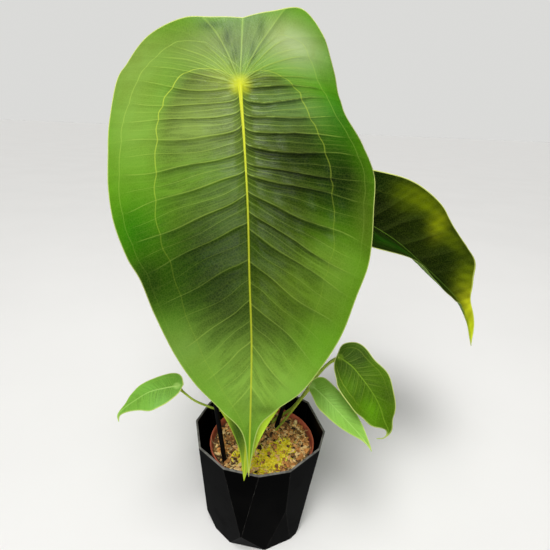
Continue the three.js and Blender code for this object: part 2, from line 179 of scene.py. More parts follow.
def grainOn(tree, place, scale, detail=2.0):
    return put(tree, "TexNoise", {"Vector": place, "Scale": scale, "Detail": detail}).outputs["Fac"]


def stretched(tree, place, upright):
    # draws a pattern out along the height
    return put(tree, "Mapping", {"Vector": place, "Scale": (1.0, 1.0, upright)}).outputs[0]


def newGroup(name, inputs, outputs):
    tree = bpy.data.node_groups.new(name, "ShaderNodeTree")
    for way, sockets in (("INPUT", inputs), ("OUTPUT", outputs)):
        for label in sockets:
            kind = "Vector" if label == "Place" else "Float"
            tree.interface.new_socket(label, in_out=way, socket_type="NodeSocket" + kind)
    return tree, tree.nodes.new("NodeGroupInput").outputs, tree.nodes.new("NodeGroupOutput").inputs


def veinLineGroup():
    # a soft line where a distance passes through zero
    tree, given, result = newGroup("vein line", ("Distance", "Width", "Blur"), ("Mask",))
    half = times(tree, given["Width"], 0.5)
    outer = maths(tree, "ADD", half, given["Blur"])
    away = maths(tree, "ABSOLUTE", given["Distance"])
    tree.links.new(rise(tree, away, half, outer, 1.0, 0.0), result["Mask"])
    return tree


netForm = {"warp": 0.9, "line": (0.02, 0.14, 1.0, 0.0), "swelling": (0.0, 0.45)}  # in cells


def netGroup():
    # the fine net between the side veins: cells a few millimetres wide on a warped place
    tree, given, result = newGroup("leaf net", ("Place", "Cell"), ("Lines", "Height"))
    size = maths(tree, "DIVIDE", 1.0, given["Cell"])
    scaled = put(tree, "VectorMath", {0: given["Place"], "Scale": size}, operation="SCALE").outputs[0]
    warp = put(tree, "TexNoise", {"Vector": scaled, "Scale": netForm["warp"]}).outputs["Color"]
    moved = put(tree, "VectorMath", {0: scaled, 1: warp}, operation="ADD").outputs[0]
    cells = put(tree, "TexVoronoi", {"Vector": moved, "Scale": 1.0}, feature="DISTANCE_TO_EDGE")
    edge = cells.outputs["Distance"]
    tree.links.new(rise(tree, edge, *netForm["line"]), result["Lines"])
    tree.links.new(rise(tree, edge, *netForm["swelling"]), result["Height"])
    return tree


def mottleGroup():
    # cloudy patches
    tree, given, result = newGroup("mottle", ("Place", "Scale", "Low", "High"), ("Mask",))
    cloud = grainOn(tree, given["Place"], given["Scale"], 4.0)
    tree.links.new(rise(tree, cloud, given["Low"], given["High"]), result["Mask"])
    return tree


groups = {"line": veinLineGroup(), "net": netGroup(), "mottle": mottleGroup()}


def useGroup(tree, key, **inputs):
    return put(tree, "Group", inputs, node_tree=groups[key]).outputs


def cloudsOn(tree, place, scale, low, high):
    return useGroup(tree, "mottle", Place=place, Scale=scale, Low=low, High=high)["Mask"]


def newMaterial(name, rough=0.5, gloss=0.5):
    # the material, its nodes, and the object's own coordinates for its patterns
    material = bpy.data.materials.new(name)
    material.use_nodes = True
    tree = material.node_tree
    shader = tree.nodes["Principled BSDF"].inputs
    shader["Roughness"].default_value = rough
    shader["Specular IOR Level"].default_value = gloss
    return material, tree, put(tree, "TexCoord").outputs["Object"]


def dress(tree, colour, rough=None, normal=None):
    # gives the shader what the patterns put out
    shader = tree.nodes["Principled BSDF"].inputs
    for label, value in {"Base Color": colour, "Roughness": rough, "Normal": normal}.items():
        if value is not None:
            tree.links.new(value, shader[label])


def bump(tree, height, depth, strength=1.0):
    # depth is in millimetres for a height of 1
    return put(tree, "Bump", {"Height": height, "Distance": depth * mm, "Strength": strength}).outputs[0]


# Mesh helpers

weld = 0.01 * mm  # corners closer than this are one
crease = math.radians(60)  # edges that turn more than this stay crisp


def placed(name, data):
    thing = bpy.data.objects.new(name, data)
    bpy.context.scene.collection.objects.link(thing)
    return thing


def meshOf(bm, name):
    mesh = bpy.data.meshes.new(name)
    bm.to_mesh(mesh)
    bm.free()
    return mesh


def finishPiece(bm, name, slot, material, *nodes, smooth=True):
    bmesh.ops.recalc_face_normals(bm, faces=bm.faces)
    for edge in bm.edges:
        edge.smooth = edge.calc_face_angle(0) < crease
    for face in bm.faces:
        face.smooth = smooth
    mesh = meshOf(bm, name)
    mesh.materials.append(material)
    piece = placed(name, mesh)
    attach(piece, "root")
    if nodes:
        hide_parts(*nodes)
    return piece


def swept(points, radii, sides, shape=None):
    # a closed tube along points, built ring by ring; shape gives a factor for an angle and share
    heading = unit(np.gradient(points, axis=0))
    bm = bmesh.new()
    angleLayer = bm.verts.layers.float.new("angle")
    shareLayer = bm.verts.layers.float.new("share")
    ring = bmesh.ops.create_circle(bm, segments=sides, radius=1, cap_ends=True)["verts"]
    edges = bm.edges[:]
    for vert in ring:
        vert[angleLayer] = math.atan2(vert.co.y, vert.co.x)
    side = Vector(heading[0]).orthogonal().normalized()
    for i, point in enumerate(points):
        ahead = Vector(heading[i])
        side = (side - ahead * side.dot(ahead)).normalized()
        other = ahead.cross(side)
        if i:
            made = bmesh.ops.extrude_edge_only(bm, edges=edges)["geom"]
            ring = [item for item in made if isinstance(item, bmesh.types.BMVert)]
            edges = [item for item in made if isinstance(item, bmesh.types.BMEdge)]
        share = i / (len(points) - 1)
        for vert in ring:
            angle = vert[angleLayer]
            radius = radii[i] * (shape(angle, share) if shape else 1)
            spot = side * math.cos(angle) + other * math.sin(angle)
            vert.co = (Vector(point) + spot * radius) * mm
            vert[shareLayer] = share
    bmesh.ops.edgeloop_fill(bm, edges=edges)
    return bm


# Leaf blades. The spine, face, halves and margin rows say the same as the solids' own form.
# A margin row is where it starts on the midrib, then across and along at the left and right margin.
# veins gives the rows where the side veins leave the midrib, left and right of the upper face,
# and inner and outer give the two veins that follow the margin, as row and share of the width.
# A patch is its place across and along, its two radii, its colour and its strength; patches hold the leaf's
# own colour and also painted light and shade.

usualBlade = {
    "root": 1,  # the spine point over the petiole
    "face": (0, -1, 0.3),  # where the upper face looks
    # fold and crown of each half: fold at the base and past the turn, then the crown
    "left": (0, 0, 0.0017, 0.0017),
    "right": (0, 0, 0.0017, 0.0017),
    "fan": 2,  # rows up to this one start at the petiole
    "thickness": 0.7,
    "crumple": (0.05, 0.05),  # height, left and right
    "crinkle": 0.06,  # how unevenly the patches cover
    "patches": [],
    "wander": 0.03,  # how crooked the side veins run
    "arch": 0.4,  # how far they droop
    "fountain": 0.2,  # how far those of the fan bend over
}
youngBlade = {
    **usualBlade,
    "dip": 2,
    "grid": (24, 120),
    "veins": ((1, 2, 2.8, 3.6, 4.4, 5.2, 6.1, 7), (1, 2, 2.9, 3.7, 4.5, 5.3, 6.2, 7)),
    "inner": ((0, 0.3), (3, 0.7), (8, 0.8)),
    "outer": ((0, 0.6), (3, 0.9), (8, 0.95)),
    "pleat": (0.03, 0.03),
    "rib": (0.4, 0.8),
    "thickness": 0.5,
}
leaves = {
    "main": {
        **usualBlade,
        "crumple": (0.12, 0.4),
        "spine": [
            (-30, 51, 550), (-29, 31, 520), (-28, 12, 490), (-22, -12, 446), (-16, -36, 391),
            (-12, -56, 334), (-8, -71, 276), (-7, -81, 217), (-7, -87, 141),
        ],
        "root": 2, "right": (0, 0, 0.004, 0.0017), "turn": (0, 147), "fan": 5, "dip": 14,
        "margin": [
            (0, 0, -71, 0, -71), (0, -28, -72, 27, -81), (0, -55, -74, 56, -93),
            (0, -84, -68, 77, -77), (0, -102, -54, 86, -52), (0, -115, -34, 92, -29),
            (10, -124, -6, 95, -6), (25, -129, 14, 98, 20), (45, -131, 45, 113, 50),
            (66, -132, 80, 120, 80), (84, -127, 120, 115, 115), (104, -114, 153, 108, 163),
            (130, -100, 175, 94, 198), (160, -87, 206, 81, 226), (192, -71, 243, 64, 252),
            (225, -50, 274, 44, 278), (262, -27, 297, 22, 296), (305, -7, 320, 7, 316),
            (367, 0, 367, 0, 367),
        ],
        "wave": (1.5, 3), "grid": (60, 400),
        "veins": (
            (0.8, 1.6, 2.4, 3.2, 4, 4.9, 5.9, 6.8, 7.55, 8.7, 9.7, 10.8, 11.8, 12.9, 14, 15.1, 16.2),
            (0.9, 1.8, 2.8, 3.8, 4.8, 5.9, 7, 7.7, 8.4, 9.3, 9.85, 10.7, 11.45, 12, 12.95, 14.1, 15.2, 16.2),
        ),
        "inner": (
            (0, 0.03), (2.5, 0.13), (4, 0.3), (5, 0.45), (6, 0.56), (7, 0.6), (9, 0.62),
            (11, 0.69), (18, 0.72),
        ),
        "outer": (
            (0, 0.2), (1.5, 0.4), (2, 0.6), (3, 0.72), (5, 0.78), (6, 0.84), (7, 0.88),
            (9.4, 0.91), (18, 0.94),
        ),
        "pleat": (0.055, 0.12), "rib": (1.6, 2.6), "thickness": 0.8, "base": (84, 140, 4),
        # these patches are partly the leaf's own colour and partly painted light and shade: painted sheen on
        # the upper lobes, painted dark zones beside the midrib, a painted shaded dent near the tip and a
        # paler, painted lit lower third
        "patches": [
            (-30, -40, 50, 30, (120, 130, 76), 0.7), (-105, -40, 36, 40, (120, 140, 66), 0.7),
            (-105, 10, 36, 70, (132, 164, 74), 0.6), (-106, 128, 30, 36, (36, 110, 0), 0.85),
            (-90, 178, 34, 34, (16, 32, 0), 0.85), (46, -52, 34, 26, (166, 180, 130), 0.85),
            (88, 20, 20, 50, (40, 122, 0), 0.85), (45, 70, 46, 46, (12, 28, 2), 0.85),
            (88, 92, 36, 50, (0, 20, 0), 1.0), (-45, 165, 52, 50, (12, 40, 0), 0.85),
            (10, 150, 50, 40, (34, 58, 2), 0.6), (0, 205, 54, 30, (18, 40, 0), 0.78),
            (-62, 240, 40, 30, (104, 134, 58), 0.7), (10, 272, 60, 44, (128, 168, 64), 0.8),
            (-42, 36, 40, 34, (136, 160, 80), 0.65), (74, 166, 30, 24, (104, 140, 44), 0.7),
            (44, 18, 34, 24, (98, 128, 70), 0.75), (-50, 84, 40, 34, (100, 144, 40), 0.62),
            (70, 196, 26, 34, (88, 118, 34), 0.7), (34, 190, 30, 26, (84, 112, 22), 0.7),
            (13, 294, 11, 5, (66, 96, 20), 0.6), (106, 126, 12, 36, (70, 92, 18), 0.8),
            (-6, -30, 4, 14, (32, 60, 4), 0.7), (-13, -50, 5, 14, (28, 56, 4), 0.75),
            (-27, -63, 13, 5, (36, 70, 8), 0.7), (10, -36, 4, 16, (36, 66, 10), 0.65),
            (17, -60, 5, 16, (42, 74, 16), 0.65), (-12, -6, 20, 16, (134, 150, 20), 0.5),
        ],
        "heart": (60, 84, 4), "wander": 0.035, "arch": 1.25, "fountain": 0.42,
        # wrinkles by the right margin: place, size and height
        "rumple": (86, 138, 26, 46, 0.35),
    },
    "behind": {
        **usualBlade,
        "spine": [
            (-26, 22, 424), (-22, -3, 385), (-18, -25, 338), (-15, -42, 295), (-14, -58, 252),
            (-12, -69, 215), (-11, -76, 175), (-12, -79, 128),
        ],
        "turn": (0, 108), "dip": 8,
        "margin": [
            (0, 0, -52, 0, -52), (0, -30, -56, 28, -56), (0, -62, -48, 54, -47),
            (5, -84, -18, 72, -16), (28, -90, 25, 79, 28), (60, -85, 75, 80, 78),
            (98, -72, 120, 73, 125), (140, -50, 160, 54, 165), (185, -27, 190, 30, 193),
            (222, -8, 229, 12, 226), (271, 0, 271, 0, 271),
        ],
        "wave": (1, 2), "grid": (36, 200),
        "veins": ((1, 2, 2.9, 4, 5, 6, 7, 8, 9), (1, 2, 3.1, 4.1, 5.2, 6.1, 7, 8, 9)),
        "inner": ((0, 0.1), (2, 0.5), (4, 0.6), (10, 0.7)),
        "outer": ((0, 0.5), (2, 0.75), (4, 0.88), (10, 0.93)), "pleat": (0.04, 0.04), "rib": (1, 1.6),
        "base": (120, 170, 24),
        # painted light on the right side and along the left band, and a painted shadow of the large leaf on
        # the left inside
        "patches": [
            (23, 215, 19, 50, (214, 255, 62), 1.0), (-25, 205, 9, 60, (190, 210, 50), 0.9),
            (-8, 220, 11, 46, (30, 56, 6), 0.9), (8, 246, 8, 20, (200, 214, 70), 0.7),
        ],
        "heart": (52, 92, 12),
    },
    "right": {
        **usualBlade,
        "spine": [
            (10, 76, 374), (55, 75, 373), (86, 75, 365), (122, 74, 351), (153, 73, 333),
            (181, 71, 311), (209, 68, 288), (230, 65, 268), (245, 62, 243), (254, 60, 212),
        ],
        "face": (0, -0.36, 0.93), "left": (0.25, 0.54, 0, 0), "right": (0.38, 0.38, 0, 0),
        "turn": (30, 120), "fan": 3, "dip": 6,
        "margin": [
            (0, 0, -40, 0, -40), (0, -22, -43, 28, -45), (0, -42, -32, 52, -28),
            (0, -55, -5, 66, 8), (15, -70, 38, 77, 55), (35, -79, 76, 86, 85),
            (60, -75, 112, 87, 116), (90, -65, 145, 79, 145), (120, -52, 170, 68, 170),
            (150, -38, 188, 58, 194), (180, -24, 203, 34, 205), (210, -13, 220, 17, 216),
            (240, -6, 240, 9, 238), (270, 0, 270, 0, 270),
        ],
        "wave": (1.2, 3), "grid": (44, 240),
        "veins": (
            (1, 2, 3, 4, 4.8, 5.7, 6.6, 7.5, 8.5, 9.5, 10.5, 11.5),
            (1, 2, 3, 4, 4.9, 5.7, 6.6, 7.6, 8.5, 9.4, 10.4, 11.4),
        ),
        "inner": ((0, 0.1), (3, 0.5), (6, 0.65), (13, 0.75)),
        "outer": ((0, 0.4), (3, 0.8), (6, 0.88), (13, 0.93)), "pleat": (0.06, 0.06), "rib": (1.1, 1.8),
        # the near-black base and heart are partly painted shade, and the olive and yellow patches below are a
        # painted glow of light through the blade along its right side and tip
        "crumple": (0.1, 0.45), "crinkle": 0.45, "base": (4, 24, 0),
        "patches": [
            (62, 92, 20, 16, (84, 100, 0), 0.65), (72, 112, 14, 20, (104, 120, 0), 0.75),
            (58, 138, 20, 12, (138, 150, 6), 0.8), (56, 160, 12, 22, (88, 104, 0), 0.75),
            (20, 130, 24, 50, (30, 44, 0), 0.6), (30, 200, 22, 16, (96, 112, 2), 0.8),
            (12, 228, 20, 20, (200, 208, 30), 1.0), (0, 256, 16, 22, (204, 222, 30), 1.0),
            (-36, 90, 22, 70, (14, 80, 0), 0.75),
        ],
        "heart": (0, 10, 0), "wander": 0.04,
    },
    "small_left": {
        **youngBlade,
        "spine": [
            (-79, -29, 202), (-86, -31, 201), (-99, -35, 200), (-112, -39, 198), (-124, -44, 192),
            (-135, -49, 185), (-141, -52, 178), (-140, -54, 170),
        ],
        "face": (-0.1, -0.5, 0.85), "left": (0, 0, 0.012, 0.012), "right": (0, 0, 0.004, 0.004),
        "turn": (0, 26),
        "margin": [
            (0, 0, -7, 0, -7), (0, -10, -6, 3, -5), (0, -17, 0, 9, 0), (5, -18, 11, 15, 10),
            (14, -15, 24, 19, 22), (26, -13, 36, 19, 34), (39, -9, 46, 12, 44),
            (53, -3, 56, 5, 57), (73, 0, 73, 0, 73),
        ],
        "wave": (0.4, 2), "base": (112, 166, 62), "heart": (104, 158, 54),
    },
    "small_upper": {
        **youngBlade,
        "spine": [
            (73, -8, 238), (81, -15, 233), (93, -22, 227), (103, -29, 218), (113, -36, 207),
            (121, -42, 195), (126, -47, 182), (131, -50, 171), (127, -53, 165), (118, -55, 165),
        ],
        "face": (-0.1, -0.65, 0.75), "left": (0.1, 0.1, 0.002, 0.002),
        "right": (0.1, 0.1, 0.002, 0.002), "turn": (0, 36), "dip": 4,
        "margin": [
            (0, 0, -4, 0, -4), (0, -8, -1, 11, -8), (0, -17, 5, 20, -3), (3, -24, 15, 25, 10),
            (12, -27, 29, 23, 24), (24, -27, 45, 25, 42), (38, -25, 58, 19, 58),
            (55, -17, 75, 13, 73), (74, -6, 84, 6, 86), (93, -1, 94, 1, 95), (107, 0, 107, 0, 107),
        ],
        "wave": (0.5, 2), "grid": (28, 150),
        "veins": (
            (1, 2, 2.8, 3.5, 4.2, 5, 5.8, 6.7, 7.6, 8.6),
            (1, 2, 2.9, 3.6, 4.4, 5.1, 5.9, 6.8, 7.7, 8.6),
        ),
        "inner": ((0, 0.3), (3, 0.72), (10, 0.8)), "outer": ((0, 0.6), (3, 0.88), (10, 0.93)),
        "pleat": (0.035, 0.035), "rib": (0.5, 1.0), "base": (64, 98, 0),
        "patches": [
            (15, 16, 9, 7, (30, 50, 0), 0.6), (13, 57, 9, 9, (40, 60, 0), 0.5),
            (-13, 41, 8, 6, (34, 60, 0), 0.5), (-10, 64, 10, 16, (92, 150, 10), 0.6),
            (-16, 24, 8, 14, (86, 132, 14), 0.5), (6, 36, 7, 10, (74, 110, 14), 0.5),
        ],
        "heart": (56, 90, 0),
    },
    "small_lower": {
        **youngBlade,
        "spine": [
            (48, -6, 196), (55, -11, 194), (65, -20, 190), (77, -30, 183), (89, -40, 175),
            (101, -50, 167), (109, -58, 161), (114, -63, 155),
        ],
        "face": (-0.1, -0.6, 0.8), "left": (0.1, 0.1, 0.002, 0.002), "right": (0.1, 0.1, 0.002, 0.002),
        "turn": (0, 36),
        "margin": [
            (0, 0, -3, 0, -3), (0, -5, -1, 7, -3), (0, -9, 9, 15, 3), (6, -13, 20, 16, 15),
            (18, -13, 34, 15, 30), (32, -11, 48, 13, 48), (48, -7, 62, 9, 63),
            (66, -2, 75, 4, 76), (88, 0, 88, 0, 88),
        ],
        # the lighter patch near the top is painted light
        "wave": (0.3, 2), "base": (126, 176, 64), "patches": [(2, 24, 16, 20, (160, 208, 104), 0.35)],
        "heart": (120, 172, 58),
    },
}


bladeForm = {
    # shares of the length
    "late": (0.8, 0.95), "calmer": (0.5, 0.85), "calmest": (0.85, 0.97), "taper": (0.2, 0.9),
    # millimetres past the inner and the outer vein, and out from the midrib
    "pastInner": (-14, 16), "pastOuter": (-8, 3), "besideRib": (0, 10), "rimStart": (3, 12),
    "widestPleat": 26,
    "finerPleats": ((2, 0.3), (4, 0.14)),  # how many to one, and their share of its depth
    # waves that cross: length in millimetres and turn for each vein, and both again
    "smallWaves": (3.7, 9, 8.3, -12.5), "largeWaves": (6.1, -5.2, 13, 7.4),
    "tintWaves": (5.3, 7, 9.1, -10.5),
    # heights as shares of the midrib's
    "gutter": 0.2, "innerRidge": 0.12, "outerRidge": 0.06,
    "underRib": 1.6, "underVein": 0.55, "underInner": 0.3,
}


def spineOf(leaf, perSpan=40, runOn=400):
    # reach from the petiole, and the points there, run on straight past both ends
    spans = len(leaf["spine"]) - 1
    points = throughRows(leaf["spine"], np.linspace(0, spans, spans * perSpan + 1))
    reach = reachOf(points)
    reach = reach - reach[leaf["root"] * perSpan]
    before = points[0] + (points[0] - points[1]) * runOn / (reach[1] - reach[0])
    after = points[-1] + (points[-1] - points[-2]) * runOn / (reach[-1] - reach[-2])
    return np.r_[reach[0] - runOn, reach, reach[-1] + runOn], np.vstack([before, points, after])


def framesOn(leaf, b, near=4):
    # the places on the spine, and which way the face and the right half point there
    spine = spineOf(leaf)
    tip = unit(atReach(b + near, *spine) - atReach(b - near, *spine))
    face = np.array(leaf["face"], float)
    up = unit(face - (tip @ face)[:, None] * tip)
    return atReach(b, *spine), up, np.cross(up, tip)


def flatPlace(leaf, w, v):
    # across and along in millimetres, for w from the left margin -1 to the right 1
    rows = np.array(leaf["margin"], float)
    place = np.clip(v, 0, 1) * (len(rows) - 1)
    row = throughRows(rows, place)
    u = np.abs(w)
    start = np.where(place <= leaf["fan"], 0, np.maximum(row[:, 0], 0))
    slim = 0.5 * np.sqrt(np.clip((1 - v) / 0.02, 0, 1)) * (v > 0.9)  # least half width at the tip
    across = np.where(w < 0, np.minimum(row[:, 1], -slim), np.maximum(row[:, 3], slim))
    b = np.where(w < 0, row[:, 2], row[:, 4])
    bow = leaf["dip"] * smoothstep(v, 0.2, 0.35) * fading(v, 0.5, 0.75)
    return across * u, start + (b - start) * u + bow * (np.sqrt(u) - u)


def leafForm(leaf, across, b):
    # the plain blade's height over its spine
    share = smoothstep(b, *leaf["turn"])
    half = np.where(across[:, None] < 0, leaf["left"], leaf["right"])
    fold = half[:, 0] * (1 - share) + half[:, 1] * share
    crown = half[:, 2] * (1 - share) + half[:, 3] * share
    return (np.sqrt(across**2 + 4) - 2) * fold - across**2 * crown


def leafFields(leaf, w, v):
    # everything that the mesh and the shader need to know at each place on a blade
    count = len(leaf["margin"]) - 1
    row = v * count
    u = np.abs(w)
    sign = np.where(w < 0, -1.0, 1.0)
    across, b = flatPlace(leaf, w, v)

    def slope(high, low, gap):
        rate = np.stack(flatPlace(leaf, *high), 1) - np.stack(flatPlace(leaf, *low), 1)
        return rate / gap[:, None]

    step = 0.002
    uHigh, vHigh = (np.clip(value + step, 2 * step, 1) for value in (u, v))
    uLow, vLow = np.clip(uHigh - 2 * step, 0, 1), vHigh - 2 * step
    byU = slope((sign * uHigh, v), (sign * uLow, v), uHigh - uLow)
    byRow = slope((w, vHigh), (w, vLow), (vHigh - vLow) * count)
    area = np.abs(byU[:, 0] * byRow[:, 1] - byU[:, 1] * byRow[:, 0])
    lengthU, lengthRow = (np.maximum(np.linalg.norm(by, axis=1), 1e-6) for by in (byU, byRow))
    reach = u * lengthU
    span = area / lengthRow  # from the midrib to the margin, square to the margin

    # a side vein is a line of one number
    fan = leaf["fan"]
    bent = row * (1 - leaf["fountain"] * u * fading(row, 0.6 * fan, 1.35 * fan))
    knots = [np.array([0, *side, count], float) for side in leaf["veins"]]
    number = np.where(w < 0, *(np.interp(bent, k, range(len(k))) for k in knots))
    rate = np.where(w < 0, *(np.interp(row, (k[1:] + k[:-1]) / 2, 1 / np.diff(k)) for k in knots))
    wander = np.sin(reach / 11 + 4.1 * number + sign) + 1.2 * np.sin(reach / 26 - 2.3 * number)
    quiet = smoothstep(row, 0, 1.5) * fading(v, 0.86, 0.97) * smoothstep(reach, 2, 20)
    arch = leaf["arch"] * (1 + 0.7 * bell(row, 5.5, 2.2)) * (np.sqrt(u) - u)
    arch = arch * smoothstep(row, fan - 1.5, fan) * fading(v, 0.35, 0.6)
    number = number + leaf["wander"] * wander * quiet - arch

    scallop = np.abs(np.sin(np.pi * number)) - 0.5
    inner = np.interp(row, *zip(*leaf["inner"])) + 0.016 * scallop
    outer = np.interp(row, *zip(*leaf["outer"])) + 0.008 * scallop
    return SimpleNamespace(
        row=row, u=u, v=v, across=across, b=b, number=number, spacing=area / lengthU / rate,
        reach=reach, edge=(1 - u) * span, inner=(u - inner) * span, outer=(u - outer) * span,
        late=fading(v, *bladeForm["late"]), taper=1 - 0.75 * smoothstep(v, *bladeForm["taper"]),
        started=smoothstep(reach, *bladeForm["rimStart"]) * smoothstep(row, 0, 0.8),
    )


def crossing(f, first, firstTurn, second, secondTurn):
    one = np.sin(f.reach / first + firstTurn * f.number)
    return one * np.sin(f.reach / second + secondTurn * f.number)


def leafRelief(leaf, f):
    # millimetres above the plain form, on the upper face: crests at the side veins, hollows between
    form = bladeForm
    inside = 1 - 0.6 * smoothstep(f.inner, *form["pastInner"])
    inside = inside - 0.37 * smoothstep(f.outer, *form["pastOuter"])
    inside = inside * smoothstep(np.abs(f.across), *form["besideRib"])
    calm = 1 - 0.75 * smoothstep(f.v, *form["calmer"]) - 0.25 * smoothstep(f.v, *form["calmest"])
    spacing = np.minimum(f.spacing, form["widestPleat"])
    depth = np.where(f.across < 0, *leaf["pleat"]) * spacing * inside * calm
    relief = -depth * np.sin(np.pi * (f.number % 1) ** 0.55)
    for count, share in form["finerPleats"]:
        relief -= depth * share * np.sin(np.pi * (f.number * count % 1) ** 0.6)

    waves = 0.6 * crossing(f, *form["smallWaves"]) + crossing(f, *form["largeWaves"])
    crumple = np.where(f.across < 0, *leaf["crumple"])
    relief += crumple * waves * inside * smoothstep(f.v, 0.12, 0.2) * calm
    if "rumple" in leaf:
        x, y, wide, long, amount = leaf["rumple"]
        relief += amount * bell(f.across, x, wide) * bell(f.b, y, long) * waves

    height, width = leaf["rib"]
    relief += height * f.taper * bell(f.across, 0, width * f.taper) * smoothstep(f.b, -8, 4)
    gutter = bell(np.abs(f.across), 3 * width, 1.7 * width) * smoothstep(f.b, 0, 15)
    relief -= form["gutter"] * height * f.taper * gutter
    ridge = form["innerRidge"] * bell(f.inner, 0, 1.2) + form["outerRidge"] * bell(f.outer, 0, 1)
    relief += height * ridge * calm * f.started

    amount, count = leaf["wave"]
    turn = math.tau * count * f.v
    relief += amount * f.u**4 * np.sin(turn) * f.late
    relief += 0.3 * amount * f.u**6 * np.sin(3.3 * turn + 1) * smoothstep(f.v, 0, 0.08) * f.late
    return relief


def underRibs(leaf, f):
    # how far the veins stand out of the lower face
    height, width = leaf["rib"]
    away = np.abs(f.number - np.round(f.number)) * f.spacing
    fade = fading(f.inner, -10, 15) * smoothstep(f.spacing, 2, 8) * f.late
    rib = f.taper * bell(f.across, 0, 1.3 * width * f.taper) * smoothstep(f.b, -12, 2)
    side = bell(away, 0, 0.5 * width) * fade
    inner = bell(f.inner, 0, 1.2) * f.started
    shares = ("underRib", rib), ("underVein", side), ("underInner", inner)
    return height * sum(bladeForm[key] * share for key, share in shares)


def tintOf(leaf, f):
    # the leaf's own green, another inside the inner vein, and a few soft patches that also paint light and
    # shade onto the green
    soft = 14 + 26 * smoothstep(f.v, 0.35, 0.6)
    inside = fading(f.inner / soft, -1, 0.4)[:, None]
    tint = np.array(rgb(*leaf["base"])) * (1 - inside) + np.array(rgb(*leaf["heart"])) * inside
    uneven = 1 - leaf["crinkle"] * (0.5 + 0.5 * crossing(f, *bladeForm["tintWaves"]))
    for x, y, wide, long, colour, strength in leaf["patches"]:
        share = (strength * bell(f.across, x, wide) * bell(f.b, y, long) * uneven)[:, None]
        tint = tint * (1 - share) + np.array(rgb(*colour)) * share
    return tint


def makeBlade(key, material, slot):
    leaf = leaves[key]
    wide, long = leaf["grid"]
    bm = bmesh.new()
    bmesh.ops.create_grid(bm, x_segments=2 * wide, y_segments=long, size=1)
    flat = np.array([vert.co[:2] for vert in bm.verts])
    flat /= np.abs(flat).max(axis=0)
    x, y = flat.T
    w = np.sign(x) * (0.45 * np.abs(x) + 0.55 * x**2)  # finer near the midrib
    f = leafFields(leaf, w, (y + 1) / 2)
    origin, up, side = framesOn(leaf, f.b)
    height = leafForm(leaf, f.across, f.b) + leafRelief(leaf, f)
    upper = (origin + side * f.across[:, None] + up * height[:, None]) * mm
    depth = leaf["thickness"] * (0.5 + 0.5 * smoothstep(f.edge, 0, 4)) + underRibs(leaf, f)
    lower = upper - up * depth[:, None] * mm

    layers = bm.verts.layers
    number = layers.int.new("number")
    under = layers.float.new("under")
    stored = [
        (layers.float_vector.new("veins"), np.stack((f.number, f.spacing, f.reach), 1)),
        (layers.float_vector.new("rims"), np.stack((f.edge, f.inner, f.outer), 1)),
        (layers.float_vector.new("core"), np.stack((f.across, f.b, f.v), 1)),
        (layers.float_color.new("tint"), tintOf(leaf, f)),
    ]
    for i, vert in enumerate(bm.verts):
        vert.co = upper[i]
        vert[number] = i
        for layer, values in stored:
            vert[layer] = values[i]
    bmesh.ops.remove_doubles(bm, verts=bm.verts, dist=weld / 10)
    made = bmesh.ops.extrude_face_region(bm, geom=bm.faces[:], use_keep_orig=True)["geom"]
    for vert in made:
        if isinstance(vert, bmesh.types.BMVert):
            vert.co = lower[vert[number]]
            vert[under] = 1.0
    print(f"blade {key}: {len(bm.faces)} faces")
    finishPiece(bm, "leaf_" + key, slot, material, "blade_" + key)


leafLook = {
    "vein": (170, 194, 84),
    "veinShare": 0.62,  # how strongly the side veins show
    # finer veins: how many to a side vein, width, blur, strength, and how much of the vein's colour
    "finerVeins": ((9, 0.1, 0.4, 0.4, 0.28), (4, 0.15, 0.6, 0.7, 0.28), (2, 0.2, 0.5, 0.8, 0.5)),
    "ring": (186, 204, 70),
    "ringShare": 0.6,
    "rib": (196, 202, 46),
    "ribWidth": 4.2,
    "glow": 14.0,  # radius of the bright spot over the petiole
    "margin": (200, 210, 120),
    "marginWidth": 0.9,
    # tones that the green is multiplied by, and how much
    "mottled": ((224, 212, 156), 0.45),
    "streaked": ((150, 156, 118), 0.4),
    # painted shade in the pleats below each side vein: its tone, then how strongly
    "pleatShade": (96, 110, 70),
    "shade": 0.55,
    "net": 0.36,
    "netCell": 2.4,
    "under": (112, 150, 66),
    "underVein": (156, 178, 96),
    "rough": 0.27,
    "underRough": 0.3,  # more than above
    "gloss": 0.14,
    "relief": 0.6,
}
leafFades = {
    # by the share of the length
    "fan": (0.05, 0.13, 1.0, 0.0), "calm": (0.5, 0.8, 1.0, 0.35), "veins": (0.42, 0.72, 1.0, 0.4),
    "rib": (0.4, 0.75, 1.0, 0.55), "margin": (0.3, 0.75, 0.85, 0.45), "ring": (0.3, 0.7, 1.0, 0.1),
    "ribWidth": (0.1, 0.55, 1.0, 0.17),
    # by millimetres past the outer and the inner vein
    "outer": (-16.0, -2.0, 1.0, 0.12), "inner": (-14.0, 8.0, 1.0, 0.12),
    # by millimetres from the midrib, across it and along it
    "reach": (8.0, 75.0, 1.0, 0.55), "ringStart": (4.0, 16.0), "ribStart": (-6.0, 2.0),
    "shadeSide": (-10.0, 10.0, 0.6, 1.0), "ringSide": (-10.0, 10.0, 1.0, 0.6),
    # by the part of the way from one side vein to the next
    "below": (0.0, 0.08), "between": (0.12, 0.5, 1.0, 0.0), "above": (0.6, 0.98),
    # by the noise of the streaks, and by how light the green is
    "streak": (0.42, 0.6), "green": (0.0, 0.12, 0.3, 1.0),
}
